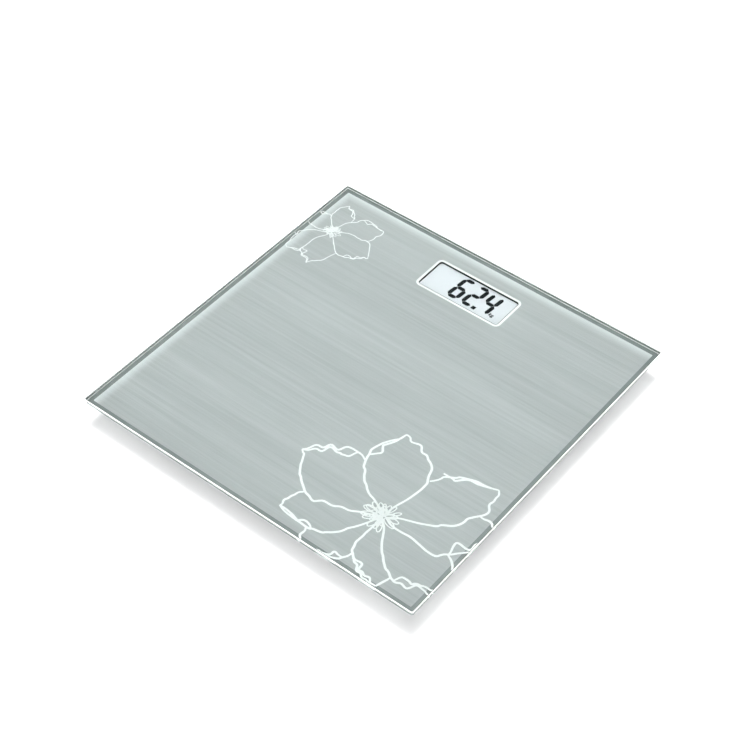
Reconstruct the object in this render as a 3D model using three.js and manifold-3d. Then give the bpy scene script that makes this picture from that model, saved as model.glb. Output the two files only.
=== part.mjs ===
// Square glass personal scale: a sheet of tempered glass on four load-cell feet, with an LCD and its
// coin-cell electronics in a flat housing bonded under the glass near the back edge.
//
// Millimetres, +Z up. The origin is on the floor under the middle of the platform. +Y points away
// from the user, towards the edge that carries the display, and +X to the user's right.

import * as THREE from 'three';
import { mergeVertices } from 'three/addons/utils/BufferGeometryUtils.js';
import Module from 'manifold-3d';

const wasm = await Module();
wasm.setup();

// ---------------------------------------------------------------- driving dimensions

// Platform
const SIDE = 300;
const TOTAL_H = 20;
const GLASS_T = 5;
const GLASS_CORNER_R = 2.5;
const GLASS_ARRIS = 1;
const FILM_T = 0.25;
const FILM_INSET = GLASS_ARRIS; // the print runs to the edge of the flat underside
const FILM_CORNER_R = GLASS_CORNER_R - GLASS_ARRIS;
const GLASS_Z = TOTAL_H - GLASS_T;
const BOND_Z = GLASS_Z - FILM_T; // everything under the platform is bonded to this plane

// Display window: the clear opening inside the white printed outline
const WINDOW = { x: -0.5, y: 113.25, w: 75, h: 30.5, r: 2.5 };
const OUTLINE_W = 2;
const OUTLINE_GAP = 0.05;

// Display housing
const HOUSING = { w: 108, d: 72, y: 102, r: 6 };
const WALL = 1.6;
const COVER_Z = 4.25;
const COVER_T = 1.5;
const PARTING_Z = 7;
const FRAME_PLATE_T = 1.25;
const BOSS_Z = 7.25; // where the frame's screw bosses meet the cover's
const BOSS = { frameR: 3.2, coverR: 3.6 };
const SCREW = { x: 48.5, y: 30, headR: 2.4, shankR: 1.05, shankTop: 12, tipR: 0.5, tipTop: 12.5 };
const SCREW_HOLE = { boreR: 2.7, clearR: 1.35, pilotR: 1.15, pilotTop: 12.75 };
const SCREW_RECESS = { length: 3, w: 0.6, depth: 0.7 };

// Circuit board and what is on it
const PCB_Z = 9.5;
const PCB_T = 1.25;
const BOARD = { halfW: 44.5, y0: 95.2, y1: 132, tongueX: 12, tongueY: 70 };
const PILLAR = { x: 32, y0: 104, y1: 126, r: 2 };
const LCD = { w: 77.5, y0: 95.25, y1: 131.25, ledge: 3.2, glassT: 1.125 };
const LCD_RIB = { clear: 0.25, t: 1 };
const ZEBRA = { w: 68, y0: 95.65, y1: 98.05 };
const REFLECTOR = { w: 75, y0: 98.75, y1: 131, t: 0.375 };
const CHIP = { x: 15, y: 118, r: 7, h: 1.3 };
const CRYSTAL = { x: -10, y: 112, r: 1.5, length: 8, drop: 1.7 };
const BUTTON = { x: 28, y: 82, r: 4, flangeR: 5.25, top: 6.6, travel: 0.6 };
const SWITCH = { side: 6, plungerR: 1.7, plungerTop: 8.4 };

// Battery bay, for a 20 x 3.2 mm coin cell
const CELL = { x: -22, y: 81.5, r: 10, t: 3.2, z: 6.5, chamfer: 0.3, capR: 8.6, capH: 0.6 };
const BAY = { w: 35, y0: 67.9, y1: 94.8, top: 11, pocketTop: 10 };
const DOOR = { w: 28, y1: 93.3, t: 2, rail: 1.4, railZ: 5.15 };
const DOOR_PLAY = 0.3;
const DOOR_RIDGE = { count: 4, start: 3, pitch: 2, w: 14, h: 0.4 };
const CONTACT = { w: 8, t: 0.3, slotW: 8.4, slotReach: 12.1, padW: 10, padD: 9, padR: 2, hook: 1.9 };

// Foot modules, in the corners
const FOOT = { x: 112, y: 112, side: 46, r: 12, ringZ: 5.5, ringTop: 7 };
const FOOT_WALL = 1.8;
const FOOT_PLATE_T = 1.5;
const FOOT_PLATE_BOTTOM = BOND_Z - FOOT_PLATE_T;
const FOOT_TRAVEL = 0.8;
const PLUNGER = { r: 17.5, flangeR: 19.5, bossR: 6, floorZ: 2.25, floorT: 2, rimZ: 1.25 };
const PAD = { r: 15, treadR: 13.8, middleR: 5, middleZ: 0.5 };
const LOAD_CELL = { side: 34, t: 2.5, z: 9.25, r: 3 };
const CELL_SLOT = { startX: -9, tongueX: 8.5, endX: 11, innerY: 7.5, outerY: 10 };
const CELL_RIB = { length: 32, y: 14, w: 4 };
const GAUGE = { x0: -15.5, x1: -10.5, w: 8, t: 0.9 };

// Sensor cables and the covers that hold them against the glass
const CABLE = { r: 0.7, z: 12.5, dip: 0.95, startInset: 15.8 };
const BACK_DIP = { start: 51, end: 43 }; // X of the dip to the board, inside the housing
const FRONT_DIP = { start: 12, end: 32 }; // and the front cables' dip, from the housing's front
const COVER_STRIP = { w: 10, z: 11, channelW: 3, channelZ: 11.75 };
const QUARTER_HANDLE = 0.5523; // Bezier handle of a quarter circle of radius 1
const FRONT_RUN_X = 42; // where the front cables run back to the housing
const BEND_R = 14;
const GAP = 0.3;

// ---------------------------------------------------------------- materials

const finish = (color, roughness, metalness) =>
  new THREE.MeshStandardMaterial({ color, roughness, metalness });

const MATERIALS = {
  glass: new THREE.MeshStandardMaterial({
    color: 0xdfeae6,
    roughness: 0.04,
    metalness: 0,
    transparent: true,
    opacity: 0.35,
  }),
  film: finish(0xb4bdb8, 0.38, 0.7),
  whitePrint: finish(0xf4f6f5, 0.5, 0),
  housing: finish(0xc9cdcc, 0.55, 0),
  cover: finish(0xd2d5d4, 0.5, 0),
  lcd: finish(0xdfe4e8, 0.15, 0),
  reflector: finish(0xf2f4f3, 0.4, 0),
  zebra: finish(0x4a4d50, 0.8, 0),
  board: finish(0x2f6b45, 0.45, 0),
  resin: finish(0x151617, 0.4, 0),
  switchBody: finish(0x2a2c2e, 0.5, 0),
  button: finish(0x8e9493, 0.5, 0),
  steel: finish(0xb6b9bb, 0.35, 1),
  screw: finish(0xc2c5c8, 0.3, 1),
  contact: finish(0xc9b984, 0.35, 1),
  sealant: finish(0xe9ebe8, 0.5, 0),
  cable: finish(0x8b8f92, 0.6, 0),
  footPlastic: finish(0xc4c8c7, 0.55, 0),
  rubber: finish(0x6f7473, 0.85, 0),
};

// ---------------------------------------------------------------- solids

function solid(geometry) {
  const bare = geometry.clone();
  bare.deleteAttribute('normal');
  bare.deleteAttribute('uv');
  const merged = mergeVertices(bare);
  return new wasm.Manifold(new wasm.Mesh({
    numProp: 3,
    vertProperties: new Float32Array(merged.attributes.position.array),
    triVerts: new Uint32Array(merged.index.array),
  }));
}

function shape(manifold) {
  const mesh = manifold.getMesh();
  const geometry = new THREE.BufferGeometry();
  geometry.setAttribute('position', new THREE.BufferAttribute(mesh.vertProperties, 3));
  geometry.setIndex(new THREE.BufferAttribute(mesh.triVerts, 1));
  geometry.computeVertexNormals();
  return geometry;
}

// One body from pieces that overlap, less the tools that cut it
function machined(pieces, tools) {
  let body = solid(pieces[0]);
  for (const piece of pieces.slice(1)) body = body.add(solid(piece));
  for (const tool of tools) body = body.subtract(solid(tool));
  return shape(body);
}

function roundedOutline(w, h, r, x = 0, y = 0, Outline = THREE.Shape) {
  const outline = new Outline();
  const [right, top] = [w / 2 - r, h / 2 - r];
  outline.absarc(x + right, y + top, r, 0, Math.PI / 2, false);
  outline.absarc(x - right, y + top, r, Math.PI / 2, Math.PI, false);
  outline.absarc(x - right, y - top, r, Math.PI, 1.5 * Math.PI, false);
  outline.absarc(x + right, y - top, r, 1.5 * Math.PI, 2 * Math.PI, false);
  outline.closePath();
  return outline;
}

const roundedHole = (w, h, r, x, y) => roundedOutline(w, h, r, x, y, THREE.Path);

const roundHole = (r) => roundedHole(2 * r, 2 * r, r);

function slab(outline, z0, z1, holes = [], curveSegments = 3) {
  outline.holes.push(...holes);
  const settings = { depth: z1 - z0, bevelEnabled: false, curveSegments };
  return new THREE.ExtrudeGeometry(outline, settings).translate(0, 0, z0);
}

function block(x0, x1, y0, y1, z0, z1) {
  const geometry = new THREE.BoxGeometry(x1 - x0, y1 - y0, z1 - z0);
  return geometry.translate((x0 + x1) / 2, (y0 + y1) / 2, (z0 + z1) / 2);
}

// A profile of [radius, height] points, from the axis to the axis, turned about Z
function turned(profile, segments, x = 0, y = 0) {
  const points = profile.map(([r, z]) => new THREE.Vector2(r, z));
  const geometry = new THREE.LatheGeometry(points, segments);
  return geometry.rotateX(Math.PI / 2).rotateZ(Math.PI).translate(x, y, 0);
}

const rod = (r, z0, z1, x, y, segments = 16) =>
  turned([[0, z0], [r, z0], [r, z1], [0, z1]], segments, x, y);

// A profile of [y, z] points pulled along X between x0 and x1
function pulled(profile, x0, x1) {
  const outline = new THREE.Shape(profile.map(([y, z]) => new THREE.Vector2(y, z)));
  const geometry = new THREE.ExtrudeGeometry(outline, { depth: x1 - x0, bevelEnabled: false });
  const axes = new THREE.Matrix4().makeBasis(
    new THREE.Vector3(0, 1, 0),
    new THREE.Vector3(0, 0, 1),
    new THREE.Vector3(1, 0, 0),
  );
  return geometry.applyMatrix4(axes).translate(x0, 0, 0);
}

const scale = new THREE.Group();

function add(name, geometry, material, parent = scale) {
  const mesh = new THREE.Mesh(geometry, material);
  mesh.name = name;
  parent.add(mesh);
}

// ---------------------------------------------------------------- platform

// Tempered glass with ground corners and a polished arris on both edges
function glassPlatform() {
  const inner = SIDE - 2 * GLASS_ARRIS;
  const outline = roundedOutline(inner, inner, GLASS_CORNER_R - GLASS_ARRIS);
  const geometry = new THREE.ExtrudeGeometry(outline, {
    depth: GLASS_T - 2 * GLASS_ARRIS,
    curveSegments: 3,
    bevelThickness: GLASS_ARRIS,
    bevelSize: GLASS_ARRIS,
    bevelSegments: 3,
  });
  return geometry.translate(0, 0, GLASS_Z + GLASS_ARRIS);
}

function platform() {
  const { x, y, w, h, r } = WINDOW;
  const filmSide = SIDE - 2 * FILM_INSET;
  const opening = 2 * (OUTLINE_W + OUTLINE_GAP);
  const cutOut = roundedHole(w + opening, h + opening, r + OUTLINE_W, x, y);
  const film = slab(roundedOutline(filmSide, filmSide, FILM_CORNER_R), BOND_Z, GLASS_Z, [cutOut]);
  const band = 2 * OUTLINE_W;
  const outline = slab(
    roundedOutline(w + band, h + band, r + OUTLINE_W, x, y),
    BOND_Z,
    GLASS_Z,
    [roundedHole(w, h, r, x, y)],
  );
  add('glass_platform', glassPlatform(), MATERIALS.glass);
  add('backing_film', film, MATERIALS.film);
  add('window_outline', outline, MATERIALS.whitePrint);
}

// ---------------------------------------------------------------- display housing

const housingOutline = (inset) =>
  roundedOutline(HOUSING.w - 2 * inset, HOUSING.d - 2 * inset, HOUSING.r - inset, 0, HOUSING.y);

const housingHole = (inset) =>
  roundedHole(HOUSING.w - 2 * inset, HOUSING.d - 2 * inset, HOUSING.r - inset, 0, HOUSING.y);

const screwPlaces = [[-1, -1], [1, -1], [-1, 1], [1, 1]].map(([sx, sy]) =>
  [sx * SCREW.x, HOUSING.y + sy * SCREW.y]);

// Notches through the housing's walls, where the four sensor cables come in
function cableNotches() {
  const half = COVER_STRIP.channelW / 2;
  const [low, high] = [COVER_STRIP.channelZ, FOOT_PLATE_BOTTOM];
  const side = HOUSING.w / 2;
  const front = HOUSING.y - HOUSING.d / 2;
  return [-1, 1].flatMap((s) => [
    block(s * side - 2, s * side + 2, FOOT.y - half, FOOT.y + half, low, high),
    block(s * FRONT_RUN_X - half, s * FRONT_RUN_X + half, front - 1, front + 2, low, high),
  ]);
}

// Upper half, bonded to the film: a plate with the window, walls, LCD ribs and screw bosses
function housingFrame() {
  const plateZ = BOND_Z - FRAME_PLATE_T;
  const { x, y, w, h, r } = WINDOW;
  const lcdDepth = LCD.y1 - LCD.y0;
  const clear = 2 * LCD_RIB.clear;
  const ribbed = clear + 2 * LCD_RIB.t;
  const ribs = slab(
    roundedOutline(LCD.w + ribbed, lcdDepth + ribbed, LCD_RIB.t, x, y),
    plateZ - 2 * LCD.glassT,
    BOND_Z,
    [roundedHole(LCD.w + clear, lcdDepth + clear, clear, x, y)],
  );
  const { pilotR, pilotTop } = SCREW_HOLE;
  const bosses = screwPlaces.map(([bx, by]) => rod(BOSS.frameR, BOSS_Z, BOND_Z, bx, by));
  const pilots = screwPlaces.map(([bx, by]) => rod(pilotR, BOSS_Z - 1, pilotTop, bx, by, 12));
  return machined([
    slab(housingOutline(0), plateZ, BOND_Z, [roundedHole(w, h, r, x, y)]),
    slab(housingOutline(0), PARTING_Z, BOND_Z, [housingHole(WALL)]),
    ribs,
    ...bosses,
  ], [...pilots, ...cableNotches()]);
}

// Lower half: a tray with the battery bay, board pillars, button hole and counterbored screw holes
function housingCover() {
  const floorZ = COVER_Z + COVER_T;
  const bayX = [CELL.x - BAY.w / 2, CELL.x + BAY.w / 2];
  const doorX = [CELL.x - DOOR.w / 2, CELL.x + DOOR.w / 2];
  const front = HOUSING.y - HOUSING.d / 2;
  const slotTop = COVER_Z + DOOR.t + 0.1;
  const pillars = [-PILLAR.x, PILLAR.x].flatMap((x) => [PILLAR.y0, PILLAR.y1].map((y) =>
    rod(PILLAR.r, COVER_Z + 0.5, PCB_Z, x, y, 12)));
  const { boreR, clearR } = SCREW_HOLE;
  const bosses = screwPlaces.map(([x, y]) => rod(BOSS.coverR, COVER_Z, BOSS_Z, x, y));
  const counterbores = screwPlaces.map(([x, y]) => rod(boreR, COVER_Z - 1, floorZ, x, y));
  const screwHoles = screwPlaces.map(([x, y]) => rod(clearR, COVER_Z, BOSS_Z + 1, x, y, 12));
  const slotX = [CELL.x - CONTACT.slotW / 2, CELL.x + CONTACT.slotW / 2];
  const slotEnd = CELL.y + CONTACT.slotReach;
  return machined([
    slab(housingOutline(0), COVER_Z, floorZ),
    slab(housingOutline(0), COVER_Z, PARTING_Z, [housingHole(WALL)]),
    block(...bayX, BAY.y0, BAY.y1, COVER_Z + 0.5, BAY.top),
    ...pillars,
    ...bosses,
  ], [
    block(...doorX, front - 1, DOOR.y1, COVER_Z - 1, slotTop),
    block(doorX[0] - DOOR.rail, doorX[1] + DOOR.rail, front - 1, DOOR.y1, DOOR.railZ, slotTop),
    rod(CELL.r + 0.4, COVER_Z, BAY.pocketTop, CELL.x, CELL.y, 28),
    block(...slotX, CELL.y, slotEnd, COVER_Z + 1, BAY.pocketTop),
    rod(BUTTON.r + 0.3, COVER_Z - 1, floorZ + 1, BUTTON.x, BUTTON.y),
    ...counterbores,
    ...screwHoles,
  ]);
}

// Self-tapping cover screw with a cross recess in its head
function coverScrew(x, y) {
  const headZ = COVER_Z + 0.2;
  const seatZ = COVER_Z + COVER_T;
  const { headR, shankR, shankTop, tipR, tipTop } = SCREW;
  const body = turned([
    [0, headZ],
    [headR - 0.4, headZ],
    [headR, headZ + 0.4],
    [headR, seatZ],
    [shankR, seatZ],
    [shankR, shankTop],
    [tipR, tipTop],
    [0, tipTop],
  ], 12, x, y);
  const [long, wide] = [SCREW_RECESS.length / 2, SCREW_RECESS.w / 2];
  const recessTop = headZ + SCREW_RECESS.depth;
  return machined([body], [
    block(x - long, x + long, y - wide, y + wide, headZ - 1, recessTop),
    block(x - wide, x + wide, y - long, y + long, headZ - 1, recessTop),
  ]);
}

function displayHousing() {
  add('housing_frame', housingFrame(), MATERIALS.housing);
  add('housing_cover', housingCover(), MATERIALS.cover);
  const names = ['front_left', 'front_right', 'back_left', 'back_right'];
  screwPlaces.forEach(([x, y], i) => {
    add(`cover_screw_${names[i]}`, coverScrew(x, y), MATERIALS.screw);
  });
}

// ---------------------------------------------------------------- display and board

// Two bonded panes; the front pane overhangs the rear one at the contact ledge
function lcdPanel() {
  const top = BOND_Z - FRAME_PLATE_T;
  const middle = top - LCD.glassT;
  const bottom = middle - LCD.glassT;
  return pulled([
    [LCD.y0, middle],
    [LCD.y0 + LCD.ledge, middle],
    [LCD.y0 + LCD.ledge, bottom],
    [LCD.y1, bottom],
    [LCD.y1, top],
    [LCD.y0, top],
  ], WINDOW.x - LCD.w / 2, WINDOW.x + LCD.w / 2);
}

// L-shaped board: its wide part lies under the LCD and its tongue carries the unit switch
function mainBoard() {
  const { halfW, y0, y1, tongueX, tongueY } = BOARD;
  const outline = new THREE.Shape();
  outline.moveTo(-halfW, y0);
  outline.lineTo(tongueX, y0);
  outline.lineTo(tongueX, tongueY);
  outline.lineTo(halfW, tongueY);
  outline.lineTo(halfW, y1);
  outline.lineTo(-halfW, y1);
  outline.closePath();
  return slab(outline, PCB_Z, PCB_Z + PCB_T);
}

// Square tactile switch, open underneath for its plunger
function unitSwitch() {
  const { x, y, top, travel } = BUTTON;
  const half = SWITCH.side / 2;
  const floor = top + travel + 0.05;
  return machined([block(x - half, x + half, y - half, y + half, floor, PCB_Z)], [
    rod(SWITCH.plungerR + 0.25, floor - 1, SWITCH.plungerTop + travel + 0.1, x, y),
  ]);
}

// Round push button with a flange that keeps it in the cover
function unitButton() {
  const face = COVER_Z - 0.5;
  const flange = COVER_Z + COVER_T + 0.1;
  const { x, y, r, flangeR, top } = BUTTON;
  return turned([
    [0, face],
    [r - 0.4, face],
    [r, face + 0.4],
    [r, flange],
    [flangeR, flange],
    [flangeR, top],
    [0, top],
  ], 24, x, y);
}

function electronics() {
  const lcdX = WINDOW.x;
  const lcdBottom = BOND_Z - FRAME_PLATE_T - 2 * LCD.glassT;
  const boardTop = PCB_Z + PCB_T;
  const ledgeZ = lcdBottom + LCD.glassT;
  const zebraX = [lcdX - ZEBRA.w / 2, lcdX + ZEBRA.w / 2];
  const reflectorX = [lcdX - REFLECTOR.w / 2, lcdX + REFLECTOR.w / 2];
  const reflectorZ = lcdBottom - REFLECTOR.t;
  const zebra = block(...zebraX, ZEBRA.y0, ZEBRA.y1, boardTop, ledgeZ);
  const reflector = block(...reflectorX, REFLECTOR.y0, REFLECTOR.y1, reflectorZ, lcdBottom);
  const resinDome = turned([
    [0, PCB_Z - CHIP.h],
    [0.43 * CHIP.r, PCB_Z - 0.92 * CHIP.h],
    [0.79 * CHIP.r, PCB_Z - 0.62 * CHIP.h],
    [CHIP.r, PCB_Z],
    [0, PCB_Z],
  ], 16, CHIP.x, CHIP.y);
  const crystal = rod(CRYSTAL.r, -CRYSTAL.length / 2, CRYSTAL.length / 2, 0, 0, 12)
    .rotateX(Math.PI / 2)
    .translate(CRYSTAL.x, CRYSTAL.y, PCB_Z - CRYSTAL.drop);
  add('lcd_panel', lcdPanel(), MATERIALS.lcd);
  add('lcd_reflector', reflector, MATERIALS.reflector);
  add('zebra_strip', zebra, MATERIALS.zebra);
  add('main_board', mainBoard(), MATERIALS.board);
  add('controller_chip', resinDome, MATERIALS.resin);
  add('quartz_crystal', crystal, MATERIALS.steel);
  add('unit_switch', unitSwitch(), MATERIALS.switchBody);
  const { x, y, top } = BUTTON;
  const plunger = rod(SWITCH.plungerR, top + 0.025, SWITCH.plungerTop, x, y);
  add('switch_plunger', plunger, MATERIALS.resin);
  add('unit_button', unitButton(), MATERIALS.button);
}

// ---------------------------------------------------------------- battery

// Sliding door: a plate with a rail along each side and finger ridges near its outer end
function batteryDoor() {
  const front = HOUSING.y - HOUSING.d / 2 + DOOR_PLAY;
  const back = DOOR.y1 - DOOR_PLAY;
  const top = COVER_Z + DOOR.t;
  const half = DOOR.w / 2 - DOOR_PLAY;
  const railHalf = half + DOOR.rail - 0.2;
  const ridges = Array.from({ length: DOOR_RIDGE.count }, (_, i) => {
    const y = front + DOOR_RIDGE.start + i * DOOR_RIDGE.pitch;
    const ridgeHalf = DOOR_RIDGE.w / 2;
    const [low, high] = [COVER_Z - DOOR_RIDGE.h, COVER_Z + 1];
    return block(CELL.x - ridgeHalf, CELL.x + ridgeHalf, y, y + DOOR_RIDGE.pitch / 2, low, high);
  });
  return machined([
    block(CELL.x - half, CELL.x + half, front, back, COVER_Z, top),
    block(CELL.x - railHalf, CELL.x + railHalf, front + 2, back, DOOR.railZ + 0.1, top),
    ...ridges,
  ], []);
}

function coinCell() {
  const { x, y, r, t, z, chamfer, capR, capH } = CELL;
  return turned([
    [0, z],
    [r - chamfer, z],
    [r, z + chamfer],
    [r, z + t - capH],
    [capR, z + t - capH],
    [capR, z + t],
    [0, z + t],
  ], 28, x, y);
}

function battery() {
  const { x, y, r, t, z } = CELL;
  const top = z + t;
  const leafY = y + r + 0.05;
  const plus = pulled([
    [leafY, z + 0.1],
    [leafY + CONTACT.t, z + 0.1],
    [leafY + CONTACT.t, top - 0.1],
    [leafY + CONTACT.hook, top - 0.1],
    [leafY + CONTACT.hook, top + 0.2],
    [leafY, top + 0.2],
  ], x - CONTACT.w / 2, x + CONTACT.w / 2);
  const pad = roundedOutline(CONTACT.padW, CONTACT.padD, CONTACT.padR, x, y);
  const minus = slab(pad, top, top + CONTACT.t);
  add('coin_cell', coinCell(), MATERIALS.steel);
  add('contact_positive', plus, MATERIALS.contact);
  add('contact_negative', minus, MATERIALS.contact);
  add('battery_door', batteryDoor(), MATERIALS.cover);
}

// ---------------------------------------------------------------- foot modules

// Base bonded to the film: a plate with a skirt, two ribs for the load cell and a cable notch
function footBase() {
  const { side, r, ringTop } = FOOT;
  const inner = side - 2 * FOOT_WALL;
  const cellTop = LOAD_CELL.z + LOAD_CELL.t;
  const [ribEnd, ribHalf] = [CELL_RIB.length / 2, CELL_RIB.w / 2];
  const ribs = [-CELL_RIB.y, CELL_RIB.y].map((y) =>
    block(-ribEnd, ribEnd, y - ribHalf, y + ribHalf, cellTop, BOND_Z - 0.5));
  const notchHalf = COVER_STRIP.channelW / 2;
  return machined([
    slab(roundedOutline(side, side, r), FOOT_PLATE_BOTTOM, BOND_Z),
    slab(
      roundedOutline(side, side, r),
      ringTop,
      BOND_Z,
      [roundedHole(inner, inner, r - FOOT_WALL)],
    ),
    ...ribs,
  ], [
    block(-side / 2 - 1, -side / 2 + 3, -notchHalf, notchHalf, cellTop, FOOT_PLATE_BOTTOM),
  ]);
}

// Steel half-bridge cell: an outer frame and a tongue that bends when the foot pushes it
function loadCell() {
  const { startX, tongueX, endX, innerY, outerY } = CELL_SLOT;
  const slot = new THREE.Path([
    [startX, outerY],
    [startX, innerY],
    [tongueX, innerY],
    [tongueX, -innerY],
    [startX, -innerY],
    [startX, -outerY],
    [endX, -outerY],
    [endX, outerY],
  ].map(([x, y]) => new THREE.Vector2(x, y)));
  const { side, t, z, r } = LOAD_CELL;
  return slab(roundedOutline(side, side, r), z, z + t, [slot], 2);
}

// Retaining ring clipped to the base: its plate stops the plunger's flange
function footRing() {
  const { side, r, ringZ, ringTop } = FOOT;
  const lip = side - 2 * FOOT_WALL - 0.4;
  return machined([
    slab(roundedOutline(side, side, r), ringZ, ringTop, [roundHole(PLUNGER.r + 0.5)]),
    slab(
      roundedOutline(lip, lip, r - FOOT_WALL),
      ringTop - 0.5,
      ringTop + 1,
      [roundHole(PLUNGER.flangeR + 0.7)],
    ),
  ], []);
}

// Cup that carries the rubber pad, with a flange above the ring and a boss under the tongue
function footPlunger() {
  const { r, flangeR, bossR, floorZ, floorT, rimZ } = PLUNGER;
  const flangeZ = FOOT.ringTop + FOOT_TRAVEL;
  return turned([
    [0, floorZ],
    [PAD.r + 0.3, floorZ],
    [PAD.r + 0.3, rimZ],
    [r - 0.6, rimZ],
    [r, rimZ + 0.6],
    [r, flangeZ],
    [flangeR, flangeZ],
    [flangeR, flangeZ + 1],
    [r - 2, flangeZ + 1],
    [r - 2, floorZ + floorT],
    [bossR, floorZ + floorT],
    [bossR, LOAD_CELL.z],
    [0, LOAD_CELL.z],
  ], 28);
}

// Rubber pad: the ring that stands on the floor round a slightly raised middle
function footPad() {
  const { r, treadR, middleR, middleZ } = PAD;
  return turned([
    [0, middleZ],
    [middleR, middleZ],
    [middleR + middleZ, 0],
    [treadR, 0],
    [r, 1],
    [r, PLUNGER.floorZ],
    [0, PLUNGER.floorZ],
  ], 28);
}

// The modules on the left are turned half round, so that every cable leaves towards the middle
function footModule(place, x, y) {
  const module = new THREE.Group();
  module.position.set(x, y, 0);
  module.rotation.z = x < 0 ? Math.PI : 0;
  const gaugeZ = LOAD_CELL.z + LOAD_CELL.t;
  const { x0, x1, w, t } = GAUGE;
  const gauge = block(x0, x1, -w / 2, w / 2, gaugeZ, gaugeZ + t);
  add(`foot_base_${place}`, footBase(), MATERIALS.footPlastic, module);
  add(`load_cell_${place}`, loadCell(), MATERIALS.steel, module);
  add(`strain_gauge_${place}`, gauge, MATERIALS.sealant, module);
  add(`foot_ring_${place}`, footRing(), MATERIALS.footPlastic, module);
  add(`foot_plunger_${place}`, footPlunger(), MATERIALS.cover, module);
  add(`foot_pad_${place}`, footPad(), MATERIALS.rubber, module);
  scale.add(module);
}

// ---------------------------------------------------------------- cables and their covers

const CABLE_START_X = FOOT.x - CABLE.startInset;
const COVER_START_X = FOOT.x - FOOT.side / 2 - GAP;
const HOUSING_FRONT = HOUSING.y - HOUSING.d / 2;

// Straight in from a back foot through the housing's side wall, then down to the board
function backRoute(s) {
  const { z, dip } = CABLE;
  const path = new THREE.CurvePath();
  const { start, end } = BACK_DIP;
  const inside = new THREE.Vector3(s * start, FOOT.y, z);
  path.add(new THREE.LineCurve3(new THREE.Vector3(s * CABLE_START_X, FOOT.y, z), inside));
  path.add(new THREE.CubicBezierCurve3(
    inside,
    new THREE.Vector3(s * (start - 3), FOOT.y, z),
    new THREE.Vector3(s * (end + 3), FOOT.y, z - dip),
    new THREE.Vector3(s * end, FOOT.y, z - dip),
  ));
  return path;
}

// In from a front foot, round a bend and straight back through the housing's front wall
function frontRoute(s) {
  const { z, dip } = CABLE;
  const [x, y] = [FRONT_RUN_X, -FOOT.y];
  const handle = BEND_R * QUARTER_HANDLE;
  const bendIn = new THREE.Vector3(s * (x + BEND_R), y, z);
  const bendOut = new THREE.Vector3(s * x, y + BEND_R, z);
  const { start, end } = FRONT_DIP;
  const inside = new THREE.Vector3(s * x, HOUSING_FRONT + start, z);
  const path = new THREE.CurvePath();
  path.add(new THREE.LineCurve3(new THREE.Vector3(s * CABLE_START_X, y, z), bendIn));
  path.add(new THREE.CubicBezierCurve3(
    bendIn,
    new THREE.Vector3(s * (x + BEND_R - handle), y, z),
    new THREE.Vector3(s * x, y + BEND_R - handle, z),
    bendOut,
  ));
  path.add(new THREE.LineCurve3(bendOut, inside));
  path.add(new THREE.CubicBezierCurve3(
    inside,
    new THREE.Vector3(s * x, HOUSING_FRONT + start + 7, z),
    new THREE.Vector3(s * x, HOUSING_FRONT + end - 7, z - dip),
    new THREE.Vector3(s * x, HOUSING_FRONT + end, z - dip),
  ));
  return path;
}

function cable(path, steps) {
  const section = new THREE.Shape();
  section.absarc(0, 0, CABLE.r, 0, 2 * Math.PI, false);
  return new THREE.ExtrudeGeometry(section, { steps, curveSegments: 4, extrudePath: path });
}

// Plan outline of a strip along the front route, drawn for the right side and mirrored for the left
function bentStrip(s, width, endGap) {
  const half = width / 2;
  const [x, y] = [FRONT_RUN_X, -FOOT.y];
  const [cx, cy] = [x + BEND_R, y + BEND_R];
  const start = COVER_START_X - endGap;
  const end = HOUSING_FRONT - GAP - endGap;
  const right = new THREE.Path();
  right.moveTo(start, y - half);
  right.lineTo(cx, y - half);
  right.absarc(cx, cy, BEND_R + half, -Math.PI / 2, -Math.PI, true);
  right.lineTo(x - half, end);
  right.lineTo(x + half, end);
  right.absarc(cx, cy, BEND_R - half, Math.PI, 1.5 * Math.PI, false);
  right.lineTo(start, y + half);
  return new THREE.Shape(right.getPoints(8).map((p) => new THREE.Vector2(s * p.x, p.y)));
}

function frontCableCover(s) {
  const { w, z, channelW, channelZ } = COVER_STRIP;
  return machined([slab(bentStrip(s, w, 0), z, BOND_Z)], [
    slab(bentStrip(s, channelW, -1), channelZ, BOND_Z + 1),
  ]);
}

function backCableCover(s) {
  const { w, z, channelW, channelZ } = COVER_STRIP;
  const ends = [HOUSING.w / 2 + GAP, COVER_START_X].map((x) => s * x).sort((a, b) => a - b);
  return machined([block(...ends, FOOT.y - w / 2, FOOT.y + w / 2, z, BOND_Z)], [
    block(
      ends[0] - 1,
      ends[1] + 1,
      FOOT.y - channelW / 2,
      FOOT.y + channelW / 2,
      channelZ,
      BOND_Z + 1,
    ),
  ]);
}

function wiring() {
  for (const [side, s] of [['left', -1], ['right', 1]]) {
    add(`cable_cover_front_${side}`, frontCableCover(s), MATERIALS.footPlastic);
    add(`cable_cover_back_${side}`, backCableCover(s), MATERIALS.footPlastic);
    add(`sensor_cable_front_${side}`, cable(frontRoute(s), 56), MATERIALS.cable);
    add(`sensor_cable_back_${side}`, cable(backRoute(s), 16), MATERIALS.cable);
  }
}

// ---------------------------------------------------------------- assembly

platform();
displayHousing();
electronics();
battery();
footModule('front_left', -FOOT.x, -FOOT.y);
footModule('front_right', FOOT.x, -FOOT.y);
footModule('back_left', -FOOT.x, FOOT.y);
footModule('back_right', FOOT.x, FOOT.y);
wiring();

export default scale;
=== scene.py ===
import math
import random

import bmesh
import bpy
from mathutils import Matrix, Vector, noise


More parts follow.
